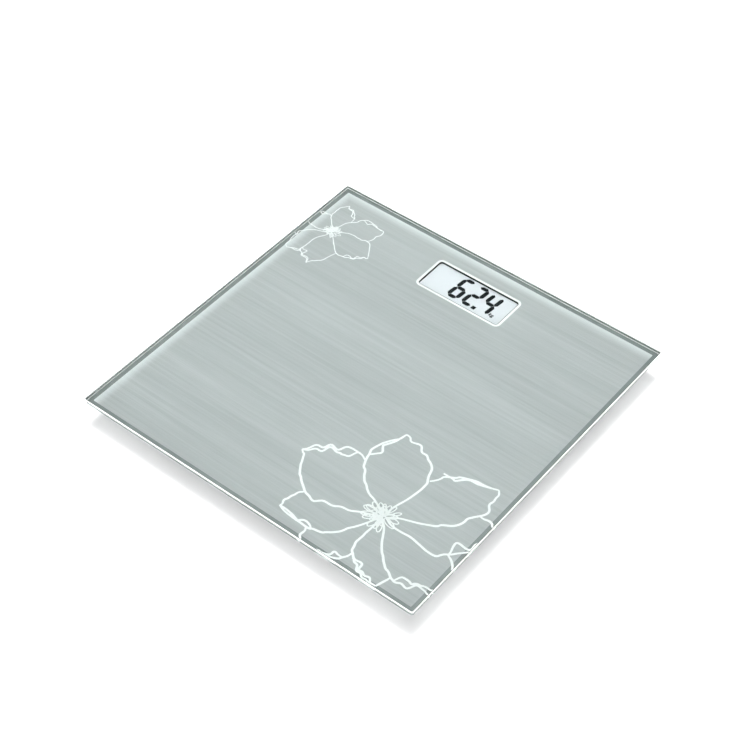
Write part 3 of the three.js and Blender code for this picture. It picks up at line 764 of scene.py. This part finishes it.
figure_height = 24.8 * MM
figure_width = 11.3 * MM
bar = 3.4 * MM
slant = math.tan(math.radians(5.6))
SEGMENTS = {
    "top": ((0, 1), (1, 1)),
    "middle": ((0, 0.5), (1, 0.5)),
    "bottom": ((0, 0), (1, 0)),
    "upper_left": ((0, 0.5), (0, 1)),
    "upper_right": ((1, 0.5), (1, 1)),
    "lower_left": ((0, 0), (0, 0.5)),
    "lower_right": ((1, 0), (1, 0.5)),
}
FIGURES = {
    "6": ("top", "middle", "bottom", "upper_left", "lower_left", "lower_right"),
    "2": ("top", "middle", "bottom", "upper_right", "lower_left"),
    "4": ("middle", "upper_left", "upper_right", "lower_right"),
}
segment_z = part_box("lcd_panel")[1].z + 0.01 * MM
segment_gap = 0.12 * MM
segment_thickness = 0.03 * MM


def flat_solid(shape, outline, z, thickness):
    """Adds a thin closed solid with that plan outline to a bmesh."""
    area = sum(a[0] * b[1] - b[0] * a[1] for a, b in zip(outline, outline[1:] + outline[:1]))
    outline = outline if area > 0 else outline[::-1]
    lower = [shape.verts.new((x, y, z)) for x, y in outline]
    upper = [shape.verts.new((x, y, z + thickness)) for x, y in outline]
    shape.faces.new(lower[::-1])
    shape.faces.new(upper)
    walled(shape, [lower, upper])


def segment_outline(start, end):
    """A bar with pointed ends between two corners of a figure, in the figure's own plan."""
    along = (end - start).normalized()
    across = Vector((-along.y, along.x)) * bar / 2
    start, end = start + along * segment_gap, end - along * segment_gap
    shoulder = along * bar / 2
    return [
        start, start + shoulder - across, end - shoulder - across,
        end, end - shoulder + across, start + shoulder + across,
    ]


def leaned(points, corner):
    """Figure points, leaned to the right and put in place."""
    return [(corner[0] + p[0] + slant * p[1], corner[1] + p[1]) for p in points]


digits = bmesh.new()
figure_corner_y = 102.1 * MM
for figure, corner_x in (("6", -15.0 * MM), ("2", -1.5 * MM), ("4", 12.3 * MM)):
    for lit in FIGURES[figure]:
        ends = [
            Vector((bar / 2 + u * (figure_width - bar), bar / 2 + v * (figure_height - bar)))
            for u, v in SEGMENTS[lit]
        ]
        outline = leaned(segment_outline(*ends), (corner_x, figure_corner_y))
        flat_solid(digits, outline, segment_z, segment_thickness)
point_outline = leaned([(0, 0), (bar, 0), (bar, bar), (0, bar)], (9.4 * MM, figure_corner_y))
flat_solid(digits, point_outline, segment_z, segment_thickness)
digits_mesh = bpy.data.meshes.new("lcd_figures")
digits.to_mesh(digits_mesh)
digits.free()
digits_piece = new_object("lcd_figures", digits_mesh, lcd_segment)
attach(digits_piece, "platform")

unit_curve = bpy.data.curves.new("unit_sign", "FONT")
unit_curve.body = "kg"
unit_curve.size = 4.6 * MM
unit_curve.offset = 0.14 * MM
unit_curve.shear = 0.12
unit_curve.extrude = 0.015 * MM
unit_text = new_object("unit_sign_text", unit_curve)
bpy.context.view_layer.update()
unit_mesh = plain_mesh("lcd_unit_sign", unit_text)
unit_mesh.transform(Matrix.Translation((24.4 * MM, 104.4 * MM, segment_z + 0.016 * MM)))
unit_piece = new_object("lcd_unit_sign", unit_mesh, lcd_segment)
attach(unit_piece, "platform")


# ------------------------------------------------------------------ display housing
# Two shallow shells of light grey moulded plastic: a frame bonded to the glass, and a cover held
# to it by four small cross-head screws. The cover's lower edge is rounded all the way along.

def moulded_plastic(name, colour, grain=0.02 * MM, roughness=0.5):
    """Moulded plastic with a fine spark-eroded grain and faint colour flow."""
    material, tree, output = new_material(name)
    shader = principled(tree, output, colour, roughness)
    flow = noise_at(tree, object_point(tree), 40, 3.0)
    dark = tuple(0.95 * c for c in colour)
    light = tuple(min(1.0, 1.04 * c) for c in colour)
    coloured(tree, shader, flow, dark, light)
    spark = noise_at(tree, object_point(tree), 4200, 2.0, 0.7)
    roughened(tree, shader, spark, roughness - 0.08, roughness + 0.1)
    bumped(tree, shader, spark, grain, 0.6)
    return material


def eased(node, name, radius, chosen, steps=4):
    """A copy of a CAD node's mesh with its chosen edges rounded."""
    shape = bmesh.new()
    shape.from_mesh(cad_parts[node].data)
    shape.transform(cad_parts[node].matrix_world)
    bmesh.ops.remove_doubles(shape, verts=shape.verts, dist=0.001 * MM)
    bmesh.ops.dissolve_limit(shape, angle_limit=math.radians(0.5), verts=shape.verts, edges=shape.edges)
    edges = [
        edge for edge in shape.edges
        if edge.is_convex and edge.calc_face_angle(0) > math.radians(50) and chosen(edge)
    ]
    bmesh.ops.bevel(
        shape, geom=edges, offset=radius, segments=steps, profile=0.5, affect="EDGES", clamp_overlap=True,
    )
    return finished(name, shape, 28)


housing_plastic = moulded_plastic("light_grey_housing_plastic", (0.56, 0.585, 0.58))
cover_plastic = moulded_plastic("light_grey_cover_plastic", (0.52, 0.54, 0.535))
cover_low, cover_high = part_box("housing_cover")
edge_margin = 0.05 * MM
cover_corner = 6 * MM


def on_cover_rim(edge):
    """Does an edge of the cover run along its lower outline?"""
    if any(abs(vertex.co.z - cover_low.z) > edge_margin for vertex in edge.verts):
        return False
    mid = (edge.verts[0].co + edge.verts[1].co) / 2
    from_side = min(mid.x - cover_low.x, cover_high.x - mid.x)
    from_end = min(mid.y - cover_low.y, cover_high.y - mid.y)
    in_corner = from_side < cover_corner and from_end < cover_corner
    return min(from_side, from_end) < edge_margin or in_corner


def on_frame_rim(edge):
    """Does an edge of the frame, other than the shortest, lie in its lower face?"""
    if edge.calc_length() <= 0.2 * MM:
        return False
    return all(abs(vertex.co.z - frame_low.z) < edge_margin for vertex in edge.verts)


frame_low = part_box("housing_frame")[0]
frame_mesh = eased("housing_frame", "housing_frame_shell", 0.35 * MM, on_frame_rim, 3)
frame_piece = new_object("housing_frame_shell", frame_mesh, housing_plastic)
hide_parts("housing_frame")
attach(frame_piece, "platform")

cover_mesh = eased("housing_cover", "housing_cover_shell", 0.9 * MM, on_cover_rim)
cover_piece = new_object("housing_cover_shell", cover_mesh, cover_plastic)
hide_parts("housing_cover")
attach(cover_piece, "platform")


# ------------------------------------------------------------------ cover screws
# Four zinc-plated self-tapping screws with domed cross-recess heads, sunk in the cover's
# counterbores and driven up into the frame's bosses.

def plated_steel(name, colour, roughness, stretch=(1, 1, 1)):
    """Plated or ground steel with a fine directional scratch."""
    material, tree, output = new_material(name)
    shader = principled(tree, output, colour, roughness, Metallic=1.0)
    scratch = noise_at(tree, object_point(tree, stretch), 1500, 3.0, 0.7)
    roughened(tree, shader, scratch, roughness - 0.07, roughness + 0.12)
    bumped(tree, shader, scratch, 0.01 * MM, 0.4)
    return material


def softened(corners, steps=4):
    """A section's (radius, height, rounding) corners as points, with each inner corner rounded."""
    points = []
    for i, (u, v, rounding) in enumerate(corners):
        here = Vector((u, v))
        if rounding == 0 or i in (0, len(corners) - 1):
            points.append((u, v))
            continue
        before = Vector(corners[i - 1][:2]) - here
        after = Vector(corners[i + 1][:2]) - here
        reach = min(rounding, 0.45 * before.length, 0.45 * after.length)
        start, end = here + reach * before.normalized(), here + reach * after.normalized()
        for k in range(steps + 1):
            t = k / steps
            points.append(tuple((1 - t) ** 2 * start + 2 * t * (1 - t) * here + t * t * end))
    return points


SHARP_DEGREES = 32


def turned_solid(name, section, segments=96):
    """A closed solid of revolution about Z. The section runs from its lower to its upper end."""
    shape = bmesh.new()
    rings = []
    for radius, z in section:
        turns = [2 * math.pi * i / segments for i in range(segments if radius > 1e-9 else 1)]
        rings.append([shape.verts.new((radius * math.cos(a), radius * math.sin(a), z)) for a in turns])
    for lower, upper in zip(rings, rings[1:]):
        for i in range(segments):
            j = (i + 1) % segments
            corners = (
                lower[i % len(lower)], lower[j % len(lower)],
                upper[j % len(upper)], upper[i % len(upper)],
            )
            shape.faces.new(list(dict.fromkeys(corners)))
    return finished(name, shape, SHARP_DEGREES)


def box_solid(shape, low, high):
    """Adds a closed box between two corners to a bmesh."""
    flat_solid(
        shape,
        [(low[0], low[1]), (high[0], low[1]), (high[0], high[1]), (low[0], high[1])],
        low[2],
        high[2] - low[2],
    )


def carved(name, body, cutters):
    """The plain mesh of a body less some boxes, each given by its two corners."""
    tool = bmesh.new()
    for low, high in cutters:
        box_solid(tool, low, high)
    tool_mesh = bpy.data.meshes.new(name + "_tool")
    tool.to_mesh(tool_mesh)
    tool.free()
    tool_piece = new_object(name + "_tool", tool_mesh)
    piece = new_object(name + "_blank", body)
    cut = piece.modifiers.new("cut", "BOOLEAN")
    cut.operation = "DIFFERENCE"
    cut.solver = "EXACT"
    cut.use_self = True
    cut.object = tool_piece
    mesh = plain_mesh(name, piece)
    bpy.data.objects.remove(tool_piece)
    mesh.set_sharp_from_angle(angle=math.radians(SHARP_DEGREES))
    return mesh


def screw_row_tree(screw, material):
    """Geometry nodes: one screw at each corner of a rectangle, turned by a different amount."""
    tree, group_in, group_out = sized_tree("cover_screws", {"Spacing X": 0.0, "Spacing Y": 0.0})
    node, link = tree.nodes.new, tree.links.new
    grid = node("GeometryNodeMeshGrid")
    link(group_in.outputs["Spacing X"], grid.inputs["Size X"])
    link(group_in.outputs["Spacing Y"], grid.inputs["Size Y"])
    grid.inputs["Vertices X"].default_value = 2
    grid.inputs["Vertices Y"].default_value = 2
    source = node("GeometryNodeObjectInfo")
    source.inputs["Object"].default_value = screw
    place = node("GeometryNodeInstanceOnPoints")
    turn = node("FunctionNodeRandomValue")
    turn.inputs["Max"].default_value = math.pi
    turn.inputs["Seed"].default_value = 5
    spin = node("ShaderNodeCombineXYZ")
    link(turn.outputs["Value"], spin.inputs["Z"])
    link(grid.outputs["Mesh"], place.inputs["Points"])
    link(source.outputs["Geometry"], place.inputs["Instance"])
    link(spin.outputs[0], place.inputs["Rotation"])
    real, paint = node("GeometryNodeRealizeInstances"), node("GeometryNodeSetMaterial")
    paint.inputs["Material"].default_value = material
    link(place.outputs[0], real.inputs[0])
    link(real.outputs[0], paint.inputs["Geometry"])
    link(paint.outputs[0], group_out.inputs["Geometry"])
    return tree


screw_steel = plated_steel("zinc_plated_screw", (0.72, 0.73, 0.75), 0.3)
screw_low, screw_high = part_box("cover_screw_front_left")
far_low, far_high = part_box("cover_screw_back_right")
head_radius = (screw_high.x - screw_low.x) / 2
head_z = screw_low.z
screw_blank = turned_solid("cover_screw_blank", softened([
    (0, head_z, 0),
    (head_radius * 0.6, head_z + 0.02 * MM, 0.4 * MM),
    (head_radius - 0.15 * MM, head_z + 0.5 * MM, 0.4 * MM),
    (head_radius - 0.02 * MM, head_z + 1.3 * MM, 0.1 * MM),
    (1.05 * MM, head_z + 1.3 * MM, 0),
    (1.05 * MM, screw_high.z - 0.5 * MM, 0),
    (0.5 * MM, screw_high.z, 0),
    (0, screw_high.z, 0),
]), 48)
cross_top = head_z + 0.7 * MM
cross_bottom = head_z - 1 * MM
long_arm, short_arm = 1.5 * MM, 0.3 * MM
screw_mesh = carved("cover_screw_shape", screw_blank, [
    ((-long_arm, -short_arm, cross_bottom), (long_arm, short_arm, cross_top)),
    ((-short_arm, -long_arm, cross_bottom), (short_arm, long_arm, cross_top)),
])
screw_source = new_object("cover_screw_source", screw_mesh)
first_screw = (screw_low + screw_high) / 2
last_screw = (far_low + far_high) / 2
screws_mesh = made_by("cover_screws", screw_row_tree(screw_source, screw_steel), {
    "Spacing X": last_screw.x - first_screw.x,
    "Spacing Y": last_screw.y - first_screw.y,
})
bpy.data.objects.remove(screw_source)
screws_mesh.transform(Matrix.Translation((
    (first_screw.x + last_screw.x) / 2, (first_screw.y + last_screw.y) / 2, 0,
)))
screws_piece = new_object("cover_screws", screws_mesh)
screws_mesh.set_sharp_from_angle(angle=math.radians(SHARP_DEGREES))
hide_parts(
    "cover_screw_front_left", "cover_screw_front_right",
    "cover_screw_back_left", "cover_screw_back_right",
)
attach(screws_piece, "platform")


# ------------------------------------------------------------------ circuit board and its parts
# A green solder-masked board behind the display, with a resin-covered controller, a watch crystal,
# the unit switch, the conductive rubber strip and the display's white reflector sheet.

green_board = moulded_plastic("green_solder_mask", (0.05, 0.22, 0.11), 0.004 * MM, 0.3)
black_resin = moulded_plastic("black_potting_resin", (0.012, 0.012, 0.013), 0.01 * MM, 0.25)
crystal_can = plated_steel("drawn_crystal_can", (0.74, 0.75, 0.76), 0.26)
switch_plastic = moulded_plastic("dark_switch_plastic", (0.03, 0.031, 0.033))
grey_elastomer = moulded_plastic("grey_elastomer", (0.07, 0.072, 0.075), 0.01 * MM, 0.7)
white_sheet = moulded_plastic("white_reflector_sheet", (0.86, 0.87, 0.87), 0.005 * MM, 0.3)
finish_node("main_board", green_board)
finish_node("controller_chip", black_resin)
finish_node("quartz_crystal", crystal_can)
finish_node("unit_switch", switch_plastic)
finish_node("switch_plunger", switch_plastic)
finish_node("zebra_strip", grey_elastomer)
finish_node("lcd_reflector", white_sheet)


# ------------------------------------------------------------------ unit button
# A round grey push button with a dished face. Its flange keeps it in the cover, and its top bears
# on the switch's plunger.

button_plastic = moulded_plastic("grey_button_plastic", (0.16, 0.17, 0.17), roughness=0.42)
button_low, button_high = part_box("unit_button")
button_middle = (button_low + button_high) / 2
button_mesh = turned_solid("unit_button_cap", softened([
    (0, button_low.z + 0.3 * MM, 0),
    (2.6 * MM, button_low.z + 0.12 * MM, 0.8 * MM),
    (3.2 * MM, button_low.z, 0.3 * MM),
    (4.0 * MM, button_low.z, 0.45 * MM),
    (4.0 * MM, button_high.z - 0.75 * MM, 0.1 * MM),
    (5.25 * MM, button_high.z - 0.75 * MM, 0.1 * MM),
    (5.25 * MM, button_high.z, 0.1 * MM),
    (0, button_high.z, 0),
]), 72)
button_mesh.transform(Matrix.Translation((button_middle.x, button_middle.y, 0)))
button_piece = new_object("unit_button_cap", button_mesh, button_plastic)
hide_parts("unit_button")
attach(button_piece, "unit_button")


# ------------------------------------------------------------------ battery door, cell and contacts
# A sliding plastic door with four finger ridges closes the bay of one flat lithium cell, which two
# plated spring contacts hold from its side and from above.

door_mesh = eased("battery_door", "battery_door_plate", 0.22 * MM, lambda edge: True, 3)
door_piece = new_object("battery_door_plate", door_mesh, cover_plastic)
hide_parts("battery_door")
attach(door_piece, "battery_door")

cell_steel = plated_steel("nickel_plated_cell", (0.74, 0.75, 0.76), 0.26)
cell_low, cell_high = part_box("coin_cell")
cell_middle = (cell_low + cell_high) / 2
cell_mesh = turned_solid("coin_cell_can", softened([
    (0, cell_low.z, 0),
    (10 * MM, cell_low.z, 0.5 * MM),
    (10 * MM, cell_high.z - 0.6 * MM, 0.35 * MM),
    (8.9 * MM, cell_high.z - 0.6 * MM, 0.1 * MM),
    (8.6 * MM, cell_high.z, 0.3 * MM),
    (0, cell_high.z, 0),
]))
cell_mesh.transform(Matrix.Translation((cell_middle.x, cell_middle.y, 0)))
cell_piece = new_object("coin_cell_can", cell_mesh, cell_steel)
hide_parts("coin_cell")
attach(cell_piece, "platform")

spring_strip = plated_steel("plated_spring_strip", (0.78, 0.7, 0.48), 0.3)
finish_node("contact_positive", spring_strip)
finish_node("contact_negative", spring_strip)


# ------------------------------------------------------------------ foot bases and rings
# Under each corner a square plastic housing with rounded corners is bonded to the glass. A ring
# clipped to its rim keeps the foot's plunger in.

PLACES = ("front_left", "front_right", "back_left", "back_right")
foot_plastic = moulded_plastic("grey_foot_plastic", (0.5, 0.52, 0.515))
foot_corner = 12 * MM
foot_wall = 1.8 * MM
foot_plate = 1.5 * MM
cable_slot = 3 * MM
rib_offset = 14 * MM
rib_half_width = 2 * MM
rib_half_length = 16 * MM


def rounded_square(half, radius, angle):
    """The point of a rounded square that lies in a direction from its middle."""
    x, y = math.cos(angle), math.sin(angle)
    reach = half / max(abs(x), abs(y))
    core = half - radius
    if min(abs(x), abs(y)) * reach > core:
        along = core * (abs(x) + abs(y))
        reach = along + math.sqrt(along ** 2 - 2 * core ** 2 + radius ** 2)
    return x * reach, y * reach


def ring_plate(name, section, segments=120):
    """A closed ring whose section runs round its outer rounded-square side and its bore."""
    shape = bmesh.new()
    rings = []
    for kind, size, z in section:
        ring = []
        for i in range(segments):
            angle = 2 * math.pi * (i + 0.5) / segments
            if kind == "square":
                x, y = rounded_square(size[0], size[1], angle)
            else:
                x, y = size * math.cos(angle), size * math.sin(angle)
            ring.append(shape.verts.new((x, y, z)))
        rings.append(ring)
    walled(shape, rings, joined=True)
    return finished(name, shape, SHARP_DEGREES)


for place in PLACES:
    base_low, base_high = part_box(f"foot_base_{place}")
    base_middle = (base_low + base_high) / 2
    half = (base_high.x - base_low.x) / 2
    section = softened([
        (foot_wall, base_high.z - foot_plate, 0),
        (foot_wall, base_low.z, 0.3 * MM),
        (0, base_low.z, 0.3 * MM),
        (0, base_high.z, 0),
    ], 3)
    base_blank = swept_solid(f"foot_base_blank_{place}", [
        rounded_loop(((-half, -half), (half, half)), inset, z, foot_corner, 14) for inset, z in section
    ], 30)
    inward = math.copysign(1, base_middle.x)
    slot_x = sorted((-inward * (half + 1 * MM), -inward * (half - 3 * MM)))
    cell_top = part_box(f"load_cell_{place}")[1].z
    base_mesh = carved(f"foot_base_shell_{place}", base_blank, [(
        (slot_x[0], -cable_slot / 2, cell_top),
        (slot_x[1], cable_slot / 2, base_high.z - foot_plate),
    )])
    ribs = bmesh.new()
    ribs.from_mesh(base_mesh)
    for side in (-1, 1):
        rib_y = side * rib_offset
        box_solid(
            ribs,
            (-rib_half_length, rib_y - rib_half_width, cell_top),
            (rib_half_length, rib_y + rib_half_width, base_high.z - foot_plate),
        )
    ribs.to_mesh(base_mesh)
    ribs.free()
    base_mesh.transform(Matrix.Translation((base_middle.x, base_middle.y, 0)))
    base_piece = new_object(f"foot_base_shell_{place}", base_mesh, foot_plastic)
    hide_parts(f"foot_base_{place}")
    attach(base_piece, "platform")

    ring_low, ring_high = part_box(f"foot_ring_{place}")
    seat_z = ring_high.z - 1 * MM
    outer = (half, foot_corner)
    lip = (half - 2 * MM, foot_corner - 1.8 * MM)
    corner = 0.5 * MM
    ring_mesh = ring_plate(f"foot_ring_plate_{place}", [
        ("square", (half - 1.2 * corner, foot_corner - 1.2 * corner), ring_low.z),
        ("square", (half - 0.4 * corner, foot_corner - 0.4 * corner), ring_low.z + 0.3 * corner),
        ("square", outer, ring_low.z + corner),
        ("square", outer, seat_z),
        ("square", lip, seat_z),
        ("square", lip, ring_high.z),
        ("bore", 20.2 * MM, ring_high.z),
        ("bore", 20.2 * MM, seat_z),
        ("bore", 18.0 * MM, seat_z),
        ("bore", 18.0 * MM, ring_low.z + corner),
        ("bore", 18.15 * MM, ring_low.z + 0.3 * corner),
        ("bore", 18.5 * MM, ring_low.z),
    ])
    ring_mesh.transform(Matrix.Translation((base_middle.x, base_middle.y, 0)))
    ring_piece = new_object(f"foot_ring_plate_{place}", ring_mesh, foot_plastic)
    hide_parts(f"foot_ring_{place}")
    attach(ring_piece, "platform")


# ------------------------------------------------------------------ load cells
# In each foot a punched steel half-bridge cell lies across two ribs. Its tongue bends when the
# plunger pushes it, and white sealant covers the strain gauge at its root.

ground_steel = plated_steel("ground_load_cell_steel", (0.62, 0.63, 0.65), 0.36, (1, 14, 1))
white_sealant = moulded_plastic("white_gauge_sealant", (0.8, 0.81, 0.79), 0.02 * MM, 0.45)
for place in PLACES:
    finish_node(f"load_cell_{place}", ground_steel)
    finish_node(f"strain_gauge_{place}", white_sealant)


# ------------------------------------------------------------------ foot plungers and pads
# A plastic cup that can slide a little way up carries a soft rubber pad with a grooved tread, the
# only thing that touches the table. Its boss pushes the load cell's tongue.

pad_rubber = moulded_plastic("soft_grey_pad_rubber", (0.08, 0.083, 0.083), 0.03 * MM, 0.78)
cup_radius, cup_flange, pad_radius = 17.5 * MM, 19.5 * MM, 15 * MM
tread_radii = (7.6 * MM, 9.6 * MM, 11.6 * MM)
groove_depth = 0.35 * MM
for place in PLACES:
    cup_low, cup_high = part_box(f"foot_plunger_{place}")
    pad_low, pad_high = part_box(f"foot_pad_{place}")
    foot_middle = (cup_low + cup_high) / 2
    flange_z = cup_low.z + 6.6 * MM
    cup_mesh = turned_solid(f"foot_cup_{place}", softened([
        (0, pad_high.z, 0),
        (pad_radius + 0.3 * MM, pad_high.z, 0),
        (pad_radius + 0.3 * MM, cup_low.z, 0.2 * MM),
        (cup_radius, cup_low.z, 0.8 * MM),
        (cup_radius, flange_z, 0.15 * MM),
        (cup_flange, flange_z, 0.15 * MM),
        (cup_flange, flange_z + 1 * MM, 0.15 * MM),
        (cup_radius - 2 * MM, flange_z + 1 * MM, 0.15 * MM),
        (cup_radius - 2 * MM, pad_high.z + 2 * MM, 0.4 * MM),
        (6 * MM, pad_high.z + 2 * MM, 0.4 * MM),
        (6 * MM, cup_high.z, 0.3 * MM),
        (0, cup_high.z, 0),
    ]))
    cup_mesh.transform(Matrix.Translation((foot_middle.x, foot_middle.y, 0)))
    cup_piece = new_object(f"foot_cup_{place}", cup_mesh, foot_plastic)
    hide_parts(f"foot_plunger_{place}")
    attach(cup_piece, f"foot_{place}")

    tread = [(0, pad_low.z + 0.5 * MM, 0), (5 * MM, pad_low.z + 0.5 * MM, 0.3 * MM)]
    tread.append((5.5 * MM, pad_low.z, 0.2 * MM))
    for radius in tread_radii:
        tread += [
            (radius, pad_low.z, 0.1 * MM),
            (radius + 0.25 * MM, pad_low.z + groove_depth, 0.1 * MM),
            (radius + 0.75 * MM, pad_low.z + groove_depth, 0.1 * MM),
            (radius + 1.0 * MM, pad_low.z, 0.1 * MM),
        ]
    tread += [
        (13.9 * MM, pad_low.z, 0.6 * MM),
        (pad_radius, pad_low.z + 1 * MM, 0.5 * MM),
        (pad_radius, pad_high.z, 0.1 * MM),
        (0, pad_high.z, 0),
    ]
    pad_mesh = turned_solid(f"foot_tread_{place}", softened(tread, 3))
    pad_mesh.transform(Matrix.Translation((foot_middle.x, foot_middle.y, 0)))
    pad_piece = new_object(f"foot_tread_{place}", pad_mesh, pad_rubber)
    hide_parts(f"foot_pad_{place}")
    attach(pad_piece, f"foot_{place}")


# ------------------------------------------------------------------ sensor cables and their covers
# A thin sheathed cable runs from each load cell to the board. Glued plastic strips with rounded
# edges cover it from the foot's housing to the display housing.

cable_sheath = moulded_plastic("grey_cable_sheath", (0.06, 0.062, 0.065), 0.01 * MM, 0.45)
strip_plastic = moulded_plastic("grey_cable_cover_plastic", (0.5, 0.52, 0.515))
channel_half = 1.5 * MM
channel_depth = 0.75 * MM


def strip_along(name, route, half_width, low, high):
    """A U-shaped strip with rounded lower edges, swept along a route in plan."""
    rounded = softened([
        (-half_width, high, 0),
        (-half_width, low, 1.2 * MM),
        (half_width, low, 1.2 * MM),
        (half_width, high, 0),
    ], 5)
    section = rounded + [
        (channel_half, high), (channel_half, low + channel_depth),
        (-channel_half, low + channel_depth), (-channel_half, high),
    ]
    shape = bmesh.new()
    rings = []
    for i, point in enumerate(route):
        ahead = (route[min(i + 1, len(route) - 1)] - route[max(i - 1, 0)]).normalized()
        across = Vector((-ahead.y, ahead.x))
        rings.append([
            shape.verts.new((point.x + u * across.x, point.y + u * across.y, z)) for u, z in section
        ])
    walled(shape, rings)
    shape.faces.new(rings[0])
    shape.faces.new(rings[-1])
    return finished(name, shape, SHARP_DEGREES)


strip_half = 5 * MM
strip_bend = 14 * MM
for side, sign in (("left", -1), ("right", 1)):
    for end in ("front", "back"):
        strip_low, strip_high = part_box(f"cable_cover_{end}_{side}")
        outer_x, inner_x = (strip_high.x, strip_low.x) if sign > 0 else (strip_low.x, strip_high.x)
        if end == "back":
            y = (strip_low.y + strip_high.y) / 2
            route = [Vector((outer_x, y)), Vector((inner_x, y))]
        else:
            y = strip_low.y + strip_half
            x = inner_x + sign * strip_half
            route = [Vector((outer_x, y))]
            for k in range(17):
                angle = math.radians(90 * k / 16)
                route.append(Vector((
                    x + sign * strip_bend * (1 - math.sin(angle)), y + strip_bend * (1 - math.cos(angle)),
                )))
            route.append(Vector((x, strip_high.y)))
        strip_mesh = strip_along(f"cable_strip_{end}_{side}", route, strip_half, strip_low.z, strip_high.z)
        strip_piece = new_object(f"cable_strip_{end}_{side}", strip_mesh, strip_plastic)
        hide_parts(f"cable_cover_{end}_{side}")
        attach(strip_piece, "platform")
        finish_node(f"sensor_cable_{end}_{side}", cable_sheath)
